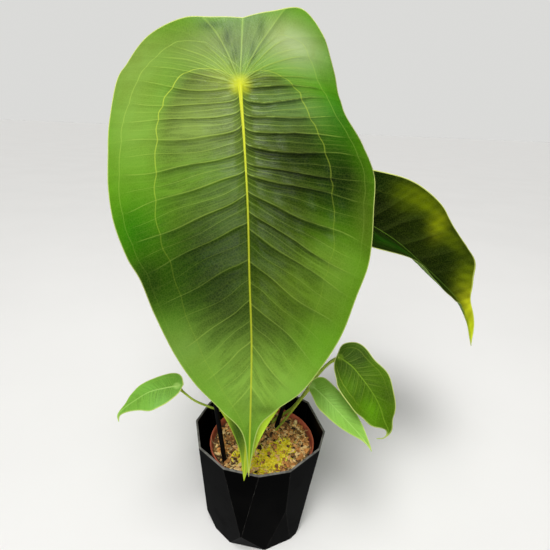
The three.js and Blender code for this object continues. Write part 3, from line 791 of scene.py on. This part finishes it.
bladeLooks = {
    "leaf_main": ("large leaf", {}),
    "leaf_behind": ("shaded leaf", {"margin": (176, 204, 60)}),
    "leaf_right": ("folded leaf", {
        "veinShare": 0.06, "ringShare": 0.06, "rib": (92, 126, 36), "ribWidth": 1.5, "shade": 0.2,
        "margin": (204, 214, 110), "marginWidth": 1.8, "gloss": 0.05,
    }),
    "leaf_small": ("small leaf", {
        "glow": 5.0, "veinShare": 0.15, "ringShare": 0.2, "rib": (112, 146, 36), "ribWidth": 1.2,
        "shade": 0.15, "rough": 0.42, "relief": 0.4, "gloss": 0.06,
    }),
    "leaf_young": ("young leaf", {
        "glow": 5.0, "veinShare": 0.1, "ringShare": 0.12, "rib": (156, 196, 96), "ribWidth": 1.1,
        "shade": 0.1, "rough": 0.4, "relief": 0.3, "gloss": 0.1,
    }),
}
bladeSlots = {
    "main": "leaf_main", "behind": "leaf_behind", "right": "leaf_right",
    "small_upper": "leaf_small", "small_left": "leaf_young", "small_lower": "leaf_young",
}


def leafMaterial(name, changes):
    look = {**leafLook, **changes}
    material, tree, place = newMaterial(name, gloss=look["gloss"])
    number, spacing, reach = partsOf(tree, field(tree, "veins", "Vector"))
    edge, inner, outer = partsOf(tree, field(tree, "rims", "Vector"))
    across, along, share = partsOf(tree, field(tree, "core", "Vector"))
    under = field(tree, "under")
    tint = field(tree, "tint", "Color")
    shown = ("vein", "ring", "rib", "margin", "pleatShade", "under", "underVein")
    tones = {key: rgb(*look[key]) for key in shown}

    def product(*values):
        return times(tree, *values)

    def fade(value, key):
        return rise(tree, value, *leafFades[key])

    def veined(amount):
        return mixed(tree, amount, tint, tones["vein"])

    def line(distance, width, blur):
        return useGroup(tree, "line", Distance=distance, Width=width, Blur=blur)["Mask"]

    def veinLines(count, width, blur):
        # lines that run with the side veins, count of them to one
        part = maths(tree, "FRACT", maths(tree, "MULTIPLY_ADD", number, float(count), 0.5))
        return line(product(maths(tree, "SUBTRACT", part, 0.5), spacing, 1 / count), width, blur)

    def ridges(stretch, count):
        # fine ridges that run with the side veins
        spot = put(tree, "CombineXYZ", {0: product(reach, stretch), 1: product(number, count)})
        return grainOn(tree, spot.outputs[0], 1.0, 3.0)

    streak = ridges(0.035, 5.0)
    thread = ridges(0.1, 16.0)
    inMm = put(tree, "VectorMath", {0: place, "Scale": 1 / mm}, operation="SCALE").outputs[0]
    net = useGroup(tree, "net", Place=inMm, Cell=look["netCell"])
    mottle = cloudsOn(tree, place, 34.0, 0.35, 0.7)
    fan = fade(share, "fan")
    calm = fade(share, "calm")
    middle = fade(inner, "inner")
    inside = maths(tree, "MAXIMUM", fade(outer, "outer"), fan)

    # painted shade just below each side vein, where the pleat turns from the light, and a painted highlight
    # just above it, where it turns towards the light
    part = maths(tree, "FRACT", number)
    pleated = maths(tree, "MAXIMUM", middle, product(fan, 0.7))
    pleated = product(pleated, fade(across, "shadeSide"), calm, look["shade"])
    pleatShade = product(fade(part, "below"), fade(part, "between"), pleated)
    crestHighlight = product(fade(part, "above"), pleated, 0.1)

    # veins show less far out, near the tip and on dark tints
    green = put(tree, "SeparateColor", {0: tint}).outputs[1]
    seen = product(inside, fade(reach, "reach"), fade(share, "veins"), fade(green, "green"))
    seen = product(seen, look["veinShare"])
    fewer = product(maths(tree, "MULTIPLY_ADD", fan, -0.65, 1.0), seen)
    mainVein = veinLines(1, 0.35, 0.65)
    finer = [
        (product(veinLines(count, width, blur), fewer, strength), veined(amount))
        for count, width, blur, strength, amount in look["finerVeins"]
    ]
    rings = product(fade(reach, "ringStart"), fade(across, "ringSide"), fade(share, "ring"))
    rings = product(rings, look["ringShare"])
    flat = put(tree, "CombineXYZ", {0: across, 1: along}).outputs[0]
    fromRoot = put(tree, "VectorMath", {0: flat}, operation="LENGTH").outputs["Value"]
    ribWidth = product(fade(share, "ribWidth"), look["ribWidth"])
    rib = product(line(across, ribWidth, 0.8), fade(along, "ribStart"))
    warm, mottled = look["mottled"]
    dusky, streaked = look["streaked"]
    upper = layered(
        tree, tint,
        (product(mottle, mottled), rgb(*warm), "MULTIPLY"),
        (product(fade(streak, "streak"), middle, streaked), rgb(*dusky), "MULTIPLY"),
        (product(net["Lines"], look["net"]), veined(0.12)),
        (pleatShade, tones["pleatShade"], "MULTIPLY"),
        (crestHighlight, tones["vein"]),
        *finer,
        (product(mainVein, seen), veined(0.5)),
        (product(line(inner, 0.3, 0.7), rings), tones["ring"]),
        (product(line(outer, 0.2, 0.7), rings, 0.6), tones["vein"]),
        (rise(tree, fromRoot, 2.0, look["glow"], 0.75, 0.0), tones["rib"]),
        (product(rib, fade(share, "rib")), tones["rib"]),
        (product(line(edge, look["marginWidth"], 0.8), fade(share, "margin")), tones["margin"]),
    )
    lower = layered(
        tree, tones["under"],
        (product(mottle, 0.3), tint),
        (product(net["Lines"], 0.35), tones["underVein"]),
        (product(mainVein, 0.8), tones["underVein"]),
        (rib, tones["underVein"]),
    )
    rough = maths(tree, "MULTIPLY_ADD", mottle, 0.06, look["rough"])
    rough = maths(tree, "MULTIPLY_ADD", streak, 0.05, rough)
    rough = maths(tree, "MULTIPLY_ADD", under, look["underRough"], rough)
    height = maths(tree, "ADD", product(streak, 0.55, middle), product(thread, 0.4, inside))
    height = maths(tree, "MULTIPLY_ADD", net["Height"], 0.08, product(height, calm))
    dress(tree, mixed(tree, under, upper, lower), rough, bump(tree, height, look["relief"]))
    return material


# Petioles: the same points as the solids', and the radius at the foot and under the blade

petioles = {
    "main": {
        "path": [(-9, 32, 88), (-9, 32, 112), (-12, 38, 220), (-17, 52, 340), (-23, 55, 420), (-27, 40, 468)],
        "foot": 4, "top": 3.2, "knee": 1.28, "kneeLong": 26,
    },
    "behind": {
        "path": [(-14, 19, 88), (-14, 19, 112), (-18, 22, 200), (-22, 27, 290), (-24, 24, 345)],
        "foot": 3.2, "top": 2.5, "knee": 1.28, "kneeLong": 22,
    },
    "right": {
        "path": [(6, 33, 88), (6, 33, 112), (18, 48, 200), (34, 66, 290), (46, 78, 345)],
        "foot": 3.4, "top": 2.6, "knee": 1.25, "kneeLong": 22,
    },
    "small_left": {
        "path": [
            (-12, 4, 100), (-12, 4, 112), (-31, -10, 149), (-50, -20, 166), (-68, -26, 179),
            (-80, -26, 189),
        ],
        "foot": 1.3, "top": 1.2, "knee": 1.5, "kneeLong": 12,
    },
    "small_upper": {
        "path": [
            (15, 28, 96), (15, 28, 112), (26, 27, 124), (37, 22, 138), (47, 12, 162), (61, 1, 199),
            (72, -6, 220),
        ],
        "foot": 2, "top": 1.7, "knee": 1.25, "kneeLong": 14,
    },
    "small_lower": {
        "path": [(18, 11, 100), (18, 11, 112), (26, 9, 127), (36, 5, 147), (45, -1, 168), (51, -7, 183)],
        "foot": 1.3, "top": 1.1, "knee": 1.3, "kneeLong": 10,
    },
}
petioleLook = {
    "foot": (140, 152, 56), "middle": (156, 180, 50), "top": (178, 196, 58),
    "mottle": (104, 134, 46), "fibre": (186, 204, 110), "sides": 20, "rings": 70,
    "groove": 0.05, "swelling": 0.3,  # shares of the radius: along one side, and at the foot
}


def makePetiole(key, material):
    values = petioles[key]
    origin, up, _ = framesOn(leaves[key], np.array([0.0]))
    end = origin[0] - up[0] * 0.5  # inside the blade
    path = resample([*values["path"], tuple(end)], petioleLook["rings"])
    share = np.linspace(0, 1, len(path))
    fromTop = (1 - share) * reachOf(path)[-1]
    knee = bell(fromTop, values["kneeLong"] * 0.5, values["kneeLong"] * 0.42)
    radii = values["foot"] + (values["top"] - values["foot"]) * share
    radii = radii * (1 + (values["knee"] - 1) * knee)
    radii = radii * (1 + petioleLook["swelling"] * bell(share, 0.0, 0.06))

    def grooved(angle, along):
        return 1 - petioleLook["groove"] * max(math.cos(angle), 0) ** 4

    bm = swept(path, radii, petioleLook["sides"], grooved)
    finishPiece(bm, "stalk_" + key, "petiole", material, "petiole_" + key)


def petioleMaterial():
    material, tree, place = newMaterial("leaf stalk")
    tones = {key: rgb(*petioleLook[key]) for key in ("foot", "middle", "top", "mottle", "fibre")}
    share = field(tree, "share")
    fibre = grainOn(tree, stretched(tree, place, 0.08), 900.0)
    colour = layered(
        tree, tones["foot"],
        (rise(tree, share, 0.02, 0.2), tones["middle"]),
        (rise(tree, share, 0.85, 1.0), tones["top"]),
        (times(tree, cloudsOn(tree, place, 120.0, 0.4, 0.7), 0.3), tones["mottle"]),
        (rise(tree, fibre, 0.5, 0.7, 0.0, 0.25), tones["fibre"]),
    )
    dress(tree, colour, rise(tree, fibre, 0.3, 0.7, 0.38, 0.5), bump(tree, fibre, 0.12, 0.6))
    return material


# Cachepot: the solid's own facets with softened edges

cachepot = {
    "edge": 0.7,
    "segments": 3,
    "flat": 1,  # degrees: facets that turn less are one
    "turn": 4,  # and edges that turn more are rounded
    "rim": (128.5, 129.5),
    "gloss": 0.035,
    "black": (2, 2, 2),
    "dust": (14, 13, 12),
    "wornAndLit": (128, 126, 120),
}


def makeCachepot():
    material, tree, place = newMaterial("black pot plastic", gloss=cachepot["gloss"])
    dust = cloudsOn(tree, place, 22.0, 0.45, 0.75)
    scuff = grainOn(tree, place, 130.0, 4.0)
    rim = rise(tree, partsOf(tree, place)[2], *(height * mm for height in cachepot["rim"]), 0.0, 0.9)
    # pale edges and rim top: partly scuffs, partly a painted highlight along the lit edges
    edges = times(tree, field(tree, "edge"), rise(tree, scuff, 0.35, 0.6, 0.15, 0.8))
    wornAndLit = maths(tree, "MAXIMUM", edges, times(tree, rim, rise(tree, scuff, 0.3, 0.6, 0.5, 1.0)))
    dusty = times(tree, dust, 0.5), rgb(*cachepot["dust"])
    colour = layered(tree, rgb(*cachepot["black"]), dusty, (wornAndLit, rgb(*cachepot["wornAndLit"])))
    grain = bump(tree, grainOn(tree, place, 1400.0), 0.03, 0.5)
    dress(tree, colour, maths(tree, "MULTIPLY_ADD", dust, 0.16, 0.3), grain)

    bm = bmesh.new()
    bm.from_mesh(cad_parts["cachepot"].data)
    bmesh.ops.remove_doubles(bm, verts=bm.verts, dist=weld)
    flat = math.radians(cachepot["flat"])
    bmesh.ops.dissolve_limit(bm, angle_limit=flat, verts=bm.verts, edges=bm.edges)
    sharp = [edge for edge in bm.edges if edge.calc_face_angle(0) > math.radians(cachepot["turn"])]
    edge = bm.verts.layers.float.new("edge")
    rounded = bmesh.ops.bevel(
        bm, geom=sharp, offset=cachepot["edge"] * mm, segments=cachepot["segments"],
        profile=0.5, affect="EDGES", material=-1, clamp_overlap=True,
    )
    strips = set(rounded["faces"])
    for vert in rounded["verts"]:
        vert[edge] = float(all(face in strips for face in vert.link_faces))
    piece = finishPiece(bm, "pot_outer", "cachepot", material, "cachepot")
    piece.modifiers.new("even shading", "WEIGHTED_NORMAL")


# Nursery pot: thin terracotta coloured wall with a rolled rim

nursery = {
    "centre": (3, -4),
    "foot": 3.3,
    "rim": 114.3,
    "rimRadius": 60,
    "waist": 57.4,
    "footRadius": 43,
    "collar": 11,
    "wall": 1.2,
    "steps": 96,
    "drains": 6,
    "drainRadius": 4,
    "drainDepth": 6,
    "drainSides": 20,
    "drainCircle": 28,
    "clean": (206, 108, 76),
    "stained": (168, 86, 60),
}


def spun(profile, steps):
    # turns a profile of radius and height round the nursery pot's axis
    x, y = nursery["centre"]
    bm = bmesh.new()
    verts = [bm.verts.new(Vector((x + radius, y, height)) * mm) for radius, height in profile]
    edges = [bm.edges.new(pair) for pair in zip(verts, verts[1:])]
    bmesh.ops.spin(
        bm, geom=verts + edges, cent=Vector((x, y, 0)) * mm, axis=(0, 0, 1), dvec=(0, 0, 0),
        angle=math.tau, steps=steps, use_merge=True, use_duplicate=False,
    )
    bmesh.ops.remove_doubles(bm, verts=bm.verts, dist=weld)
    return bm


def makeNurseryPot():
    material, tree, place = newMaterial("terracotta plastic")
    stain = cloudsOn(tree, place, 60.0, 0.45, 0.75)
    colour = mixed(tree, times(tree, stain, 0.5), rgb(*nursery["clean"]), rgb(*nursery["stained"]))
    dress(tree, colour, maths(tree, "MULTIPLY_ADD", stain, 0.2, 0.45))
    foot, rim, wall, lip, waist, base = (
        nursery[key] for key in ("foot", "rim", "wall", "rimRadius", "waist", "footRadius")
    )
    collar = rim - nursery["collar"]
    profile = [
        (0, foot), (base - 1, foot), (base, foot + 1), (waist, collar - 0.3), (waist + 0.3, collar),
        (lip - 1.2, collar), (lip - 0.9, collar + 0.4), (lip - 0.3, rim - 1.6), (lip, rim - 1),
        (lip - 0.2, rim - 0.3), (lip - 0.8, rim), (lip - 1.4, rim - 0.3), (lip - 1.7, rim - 1.2),
        (lip - 2.3, collar + wall), (waist - wall, collar + wall - 0.4),
        (base - wall, foot + wall + 0.5), (base - wall - 1, foot + wall), (0, foot + wall),
    ]
    bm = spun(profile, nursery["steps"])
    piece = finishPiece(bm, "pot_nursery", "nursery_pot", material, "nursery_pot")

    cutter = bmesh.new()
    for i in range(nursery["drains"]):
        angle = i / nursery["drains"] * math.tau
        out = Vector((math.cos(angle), math.sin(angle))) * nursery["drainCircle"]
        spot = Matrix.Translation(Vector((*(Vector(nursery["centre"]) + out), foot)) * mm)
        radius = nursery["drainRadius"] * mm
        bmesh.ops.create_cone(
            cutter, cap_ends=True, segments=nursery["drainSides"], radius1=radius,
            radius2=radius, depth=nursery["drainDepth"] * mm, matrix=spot,
        )
    drains = placed("drains", meshOf(cutter, "drains"))
    cut = piece.modifiers.new("drains", "BOOLEAN")
    cut.object = drains
    cut.solver = "EXACT"
    graph = bpy.context.evaluated_depsgraph_get()
    result = bpy.data.meshes.new_from_object(piece.evaluated_get(graph))
    piece.modifiers.clear()
    piece.data = result
    bpy.data.objects.remove(drains)


# Soil: a lumpy mound, with bark chips, dry strands and moss on it

soil = {
    "floor": 4.8,
    "footRadius": 41.2,
    "topRadius": 55.8,
    "shoulder": 103.3,
    "edge": 108,
    "crown": 5,
    "rings": 64,
    "steps": 150,
    "tones": ((62, 42, 24), (128, 96, 54)),
    "pale": (156, 130, 78),
    "litter": 53,  # how far out loose matter lies
}


def soilHeight(x, y):
    # the same low mound as the solid's, with finer lumps; x and y from the pot's axis
    out = math.hypot(x, y) / nursery["waist"]
    lumps = 1.3 * math.sin(x * 0.31 + 1.7) * math.sin(y * 0.27) + 0.9 * math.sin(x * 0.63 - y * 0.55)
    crumbs = 1.5 * noise.fractal(Vector((x, y, 0)) / 7, 0.8, 2.2, 4)
    return soil["edge"] + soil["crown"] * (1 - out**2) + (lumps + crumbs) * (1 - out**6)


def makeSoil():
    material, tree, place = newMaterial("potting mix", rough=0.95)
    grain = put(tree, "TexVoronoi", {"Vector": place, "Scale": 480.0}).outputs
    dark, light = (rgb(*tone) for tone in soil["tones"])
    some = put(tree, "SeparateColor", {0: grain["Color"]}).outputs[0]
    pale = times(tree, maths(tree, "GREATER_THAN", some, 0.72), 0.6)
    clouds = cloudsOn(tree, place, 60.0, 0.4, 0.62)
    colour = layered(tree, dark, (clouds, light), (pale, rgb(*soil["pale"])))
    dress(tree, colour, normal=bump(tree, grain["Distance"], 0.6, 0.9))

    edge, top, rings = (soil[key] for key in ("edge", "topRadius", "rings"))
    profile = [(0, soil["floor"]), (soil["footRadius"], soil["floor"]), (top, soil["shoulder"])]
    profile += [(top * (1 - i / rings), edge) for i in range(rings + 1)]
    bm = spun(profile, soil["steps"])
    x0, y0 = nursery["centre"]
    for vert in bm.verts:
        if vert.co.z > edge * mm - weld:
            vert.co.z = soilHeight(vert.co.x / mm - x0, vert.co.y / mm - y0) * mm
    finishPiece(bm, "soil", "substrate", material, "substrate")


# Loose matter. Its tones go from dark to pale, and grain is how rough it is in millimetres.

litter = {
    "bark": {
        "count": 460, "seed": 11, "long": (4, 12), "wide": (3, 6.5), "thick": (1.5, 4),
        "tones": ((46, 28, 12), (234, 164, 88), (255, 224, 156)), "grain": 0.3,
    },
    "crumbs": {
        "count": 1300, "seed": 5, "long": (2, 4.6), "wide": (1.6, 3.4), "thick": (1.4, 2.8),
        "tones": ((78, 48, 20), (250, 188, 98), (255, 230, 158)), "grain": 0.2,
    },
    "dry strands": {
        "count": 420, "seed": 23, "long": (6, 15), "rise": (-0.1, 0.5), "radius": (0.22, 0.45),
        "tones": ((176, 138, 74), (228, 196, 120), (246, 226, 166)), "grain": 0.1,
    },
    "moss": {
        "count": 3400, "seed": 31, "long": (2.5, 5.5), "rise": (0.6, 2.8), "radius": (0.6, 1.15),
        "tones": ((204, 190, 12), (252, 232, 28), (255, 248, 92)), "grain": 0.1,
        # middle and reach of the patches where it grows
        "clumps": [
            (-6, -36, 13), (8, -38, 13), (14, -24, 14), (-20, -26, 8), (26, -8, 9), (4, -28, 12),
        ],
    },
}
chipForm = {"tip": 0.35, "uneven": (0.75, 1.25), "proud": 0.25}
strandForm = {"taper": (0.9, 1, 1.1, 1, 0.8, 0.3), "bend": 0.35, "flatten": 0.7, "sunk": 0.3, "least": 0.2}


def litterMaterial(kind):
    material, tree, place = newMaterial(kind, rough=0.9)
    dark, middle, pale = (rgb(*tone) for tone in litter[kind]["tones"])
    tone = field(tree, "tone")
    grain = grainOn(tree, place, 700.0, 3.0)
    colour = layered(
        tree, dark,
        (rise(tree, tone, 0.0, 0.55), middle),
        (rise(tree, tone, 0.5, 1.0), pale),
        (rise(tree, grain, 0.45, 0.7, 0.0, 0.45), dark),
    )
    dress(tree, colour, normal=bump(tree, grain, litter[kind]["grain"], 0.8))
    return material


def spotOnSoil(draw):
    radius = soil["litter"] * math.sqrt(draw.random())
    angle = draw.random() * math.tau
    return radius * math.cos(angle), radius * math.sin(angle)


def blankShape(bm):
    bmesh.ops.recalc_face_normals(bm, faces=bm.faces)
    blank = meshOf(bm, "blank")
    return blank, np.array([vert.co[:] for vert in blank.vertices])


def gathered(name, kind, blank, places, tones, smooth):
    # joins copies of one small shape, each with its own corner places and shade, in one piece
    bm = bmesh.new()
    for _ in places:
        bm.from_mesh(blank)
    tone = bm.verts.layers.float.new("tone")
    corners = len(blank.vertices)
    for i, (vert, place) in enumerate(zip(bm.verts, np.concatenate(places) * mm)):
        vert.co = place
        vert[tone] = tones[i // corners]
    bpy.data.meshes.remove(blank)
    finishPiece(bm, name, "substrate", litterMaterial(kind), smooth=smooth)


def makeChips(kind, name):
    values = litter[kind]
    draw = random.Random(values["seed"])
    x0, y0 = nursery["centre"]
    bm = bmesh.new()
    bmesh.ops.create_icosphere(bm, subdivisions=1, radius=0.5)
    blank, corners = blankShape(bm)
    places, tones = [], []
    for _ in range(values["count"]):
        x, y = spotOnSoil(draw)
        size = [draw.uniform(*values[key]) for key in ("long", "wide", "thick")]
        turn = Matrix.Rotation(draw.random() * math.tau, 3, "Z")
        for axis in "XY":
            turn = turn @ Matrix.Rotation(draw.gauss(0, chipForm["tip"]), 3, axis)
        uneven = np.array([draw.uniform(*chipForm["uneven"]) for _ in corners])[:, None]
        middle = (x0 + x, y0 + y, soilHeight(x, y) + chipForm["proud"] * size[2])
        places.append((corners * uneven * size) @ np.array(turn).T + middle)
        tones.append(draw.random())
    gathered(name, kind, blank, places, tones, False)


def makeStrands(kind, name):
    # thin crooked strands
    values = litter[kind]
    draw = random.Random(values["seed"])
    x0, y0 = nursery["centre"]
    steps = len(strandForm["taper"]) - 1
    bm = bmesh.new()
    bmesh.ops.create_cone(bm, cap_ends=True, segments=4, radius1=1, radius2=1, depth=1)
    sides = [edge for edge in bm.edges if abs(edge.verts[0].co.z - edge.verts[1].co.z) > 0.5]
    bmesh.ops.subdivide_edges(bm, edges=sides, cuts=steps - 1)
    blank, corners = blankShape(bm)
    ring = np.round((corners[:, 2] + 0.5) * steps).astype(int)
    taper = np.array(strandForm["taper"])[ring][:, None]
    places, tones = [], []
    for _ in range(values["count"]):
        x, y = spotOnSoil(draw)
        if "clumps" in values:
            *middle, reach = draw.choice(values["clumps"])
            x, y = (value + draw.gauss(0, reach * 0.5) for value in middle)
            if math.hypot(x, y) > soil["litter"]:
                continue
        long = draw.uniform(*values["long"])
        angle = draw.random() * math.tau
        heading = Vector((math.cos(angle), math.sin(angle), draw.uniform(*values["rise"]))).normalized()
        place = Vector((x0 + x, y0 + y, soilHeight(x, y) - strandForm["sunk"]))
        points = [tuple(place)]
        for _ in range(steps):
            bend = Vector([draw.gauss(0, strandForm["bend"]) for _ in range(3)])
            heading = (heading + bend).normalized()
            heading.z *= strandForm["flatten"]
            place = place + heading * long / steps
            place.z = max(place.z, soilHeight(place.x - x0, place.y - y0) - strandForm["least"])
            points.append(tuple(place))
        points = np.array(points)
        ahead = unit(np.gradient(points, axis=0))
        side = unit(np.cross(ahead, (0.3, 0.2, 1.0)) + 1e-6)
        other = np.cross(ahead, side)
        radius = draw.uniform(*values["radius"])
        across = side[ring] * corners[:, :1] + other[ring] * corners[:, 1:2]
        places.append(points[ring] + across * taper * radius)
        tones.append(draw.random())
    gathered(name, kind, blank, places, tones, True)


# Stem: a short knobbly trunk

stem = {
    "place": (-1, 17), "low": 82, "top": 126, "radius": 8, "rings": 40, "sides": 36,
    "narrowing": 0.2,
    "scars": (0.05, 14),  # height as a share of the radius, and how closely they follow
    "knobs": (0.04, 3, 9),  # the same, how many round the stem, and their turn along it
    "dome": (0.97, 0.9, 0.74, 0.45),  # the last rings' radii
    "tones": ((62, 50, 30), (122, 104, 62)), "green": (104, 118, 48),
}


def makeStem():
    material, tree, place = newMaterial("stem bark", rough=0.85)
    bark = grainOn(tree, place, 320.0, 5.0)
    green = times(tree, cloudsOn(tree, place, 70.0, 0.4, 0.7), 0.5)
    dark, pale = (rgb(*tone) for tone in stem["tones"])
    colour = layered(tree, dark, (rise(tree, bark, 0.35, 0.65), pale), (green, rgb(*stem["green"])))
    dress(tree, colour, normal=bump(tree, bark, 0.8, 0.9))
    share = np.linspace(0, 1, stem["rings"])
    scar, often = stem["scars"]
    knob, count, turn = stem["knobs"]
    radii = stem["radius"] * (1 - stem["narrowing"] * share) * (1 + scar * np.abs(np.sin(share * often)))
    radii[-len(stem["dome"]):] *= stem["dome"]
    heights = np.linspace(stem["low"], stem["top"], stem["rings"])

    def knobbly(angle, along):
        return 1 + knob * math.sin(count * angle + turn * along)

    bm = swept([(*stem["place"], height) for height in heights], radii, stem["sides"], knobbly)
    finishPiece(bm, "stem_trunk", "stem", material, "stem")


# Stakes: thin black rods with rounded ends

stakes = {
    "left": {"foot": (-37, -35, 112), "lean": (-0.16, 0.15), "top": 340},
    "right": {"foot": (19, 18, 112), "lean": (0.26, 0.12), "top": 300},
}
stakeForm = {
    "radius": 2.5, "depth": 26, "sides": 24, "rings": 30, "plain": 6,
    # millimetres from the end, and the share of the radius there
    "low": ((0, 0.5), (0.6, 0.78), (1.4, 0.95), (2.4, 1)),
    "high": ((2.4, 1), (1.2, 0.94), (0.4, 0.78), (0, 0.5)),
    "gloss": 0.15, "black": (5, 5, 6), "dust": (24, 22, 20),
}


def makeStake(key, material):
    values, form = stakes[key], stakeForm
    direction = np.array([*values["lean"], 1.0])
    direction /= np.linalg.norm(direction)
    foot = np.array(values["foot"], float)
    start = foot - direction * form["depth"]
    end = foot + direction * (values["top"] - foot[2]) / direction[2]
    length = np.linalg.norm(end - start)
    rings = [
        *form["low"],
        *((reach, 1) for reach in np.linspace(form["plain"], length - form["plain"], form["rings"])),
        *((length - reach, size) for reach, size in form["high"]),
    ]
    reach, size = np.array(rings).T
    points = start + (reach / length)[:, None] * (end - start)
    bm = swept(points, form["radius"] * size, form["sides"])
    finishPiece(bm, "rod_" + key, "stake", material, "stake_" + key)


def stakeMaterial():
    material, tree, place = newMaterial("black stake", gloss=stakeForm["gloss"])
    grain = grainOn(tree, stretched(tree, place, 0.05), 800.0, 3.0)
    dust = times(tree, cloudsOn(tree, place, 90.0, 0.5, 0.75), 0.5)
    colour = mixed(tree, dust, rgb(*stakeForm["black"]), rgb(*stakeForm["dust"]))
    dress(tree, colour, rise(tree, grain, 0.3, 0.7, 0.35, 0.6), bump(tree, grain, 0.1, 0.5))
    return material


# Stage: a pale floor, pale air behind it and soft light from above

stage = {
    "floor": 60,
    "floorTones": ((237, 236, 233), (235, 234, 231)),
    "floorReflected": (120, 120, 120),  # the floor hardly shows in shiny surfaces
    "background": (0.705, 0.705, 0.69),
    "fill": 0.2,
    "reflected": 0.04,  # what shiny surfaces see of the air
    "lamps": [
        # name, kind, place, aim, and width in metres or degrees, strength
        ("soft_0", "AREA", (-0.1, -0.4, 1.7), (0, 0, 0.45), 0.6, 8),
        ("even_0", "SUN", (-0.15, -0.5, 1.0), (0, 0, 0), 25, 1.3),
        ("even_1", "SUN", (-0.12, -1.0, 0.8), (0, 0, 0), 50, 1.55),
    ],
}


def makeStage():
    material, tree, place = newMaterial("floor", rough=0.8, gloss=0.05)
    pale = mixed(tree, cloudsOn(tree, place, 3.0, 0.3, 0.7), *(rgb(*tone) for tone in stage["floorTones"]))
    glossy = put(tree, "LightPath").outputs["Is Glossy Ray"]
    dress(tree, mixed(tree, glossy, pale, rgb(*stage["floorReflected"])))
    bm = bmesh.new()
    bmesh.ops.create_grid(bm, x_segments=4, y_segments=4, size=stage["floor"] / 2)
    mesh = meshOf(bm, "floor")
    mesh.materials.append(material)
    floor = placed("floor", mesh)

    for name, kind, place, aim, width, strength in stage["lamps"]:
        data = bpy.data.lights.new(name, kind)
        data.energy = strength
        if kind == "SUN":
            data.angle = math.radians(width)
        else:
            data.size = width
        turn = (Vector(place) - Vector(aim)).to_track_quat("Z", "Y").to_matrix().to_4x4()
        placed(name, data).matrix_world = Matrix.Translation(Vector(place)) @ turn

    world = bpy.data.worlds.new("air")
    world.use_nodes = True
    tree = world.node_tree
    seen = tree.nodes["Background"]
    seen.inputs["Color"].default_value = (*stage["background"], 1)
    fill, dim = (
        put(tree, "Background", {"Color": (1, 1, 1, 1), "Strength": stage[key]}).outputs[0]
        for key in ("fill", "reflected")
    )
    ray = put(tree, "LightPath").outputs
    unseen = put(tree, "MixShader", {0: ray["Is Glossy Ray"], 1: fill, 2: dim}).outputs[0]
    both = put(tree, "MixShader", {0: ray["Is Camera Ray"], 1: unseen, 2: seen.outputs[0]})
    tree.links.new(both.outputs[0], tree.nodes["World Output"].inputs[0])
    bpy.context.scene.world = world
    bpy.context.scene.view_settings.view_transform = "Standard"


makeCamera()
makeStage()

bladeMaterials = {slot: leafMaterial(*look) for slot, look in bladeLooks.items()}
for key, slot in bladeSlots.items():
    makeBlade(key, bladeMaterials[slot], slot)
print("blades made")

stalkMaterial = petioleMaterial()
for key in petioles:
    makePetiole(key, stalkMaterial)
rodMaterial = stakeMaterial()
for key in stakes:
    makeStake(key, rodMaterial)
makeStem()
print("stems made")

makeCachepot()
makeNurseryPot()
print("pots made")

makeSoil()
makeChips("bark", "bark_chips")
makeChips("crumbs", "crumbs")
makeStrands("dry strands", "dry_strands")
makeStrands("moss", "moss")
print("potting mix made")
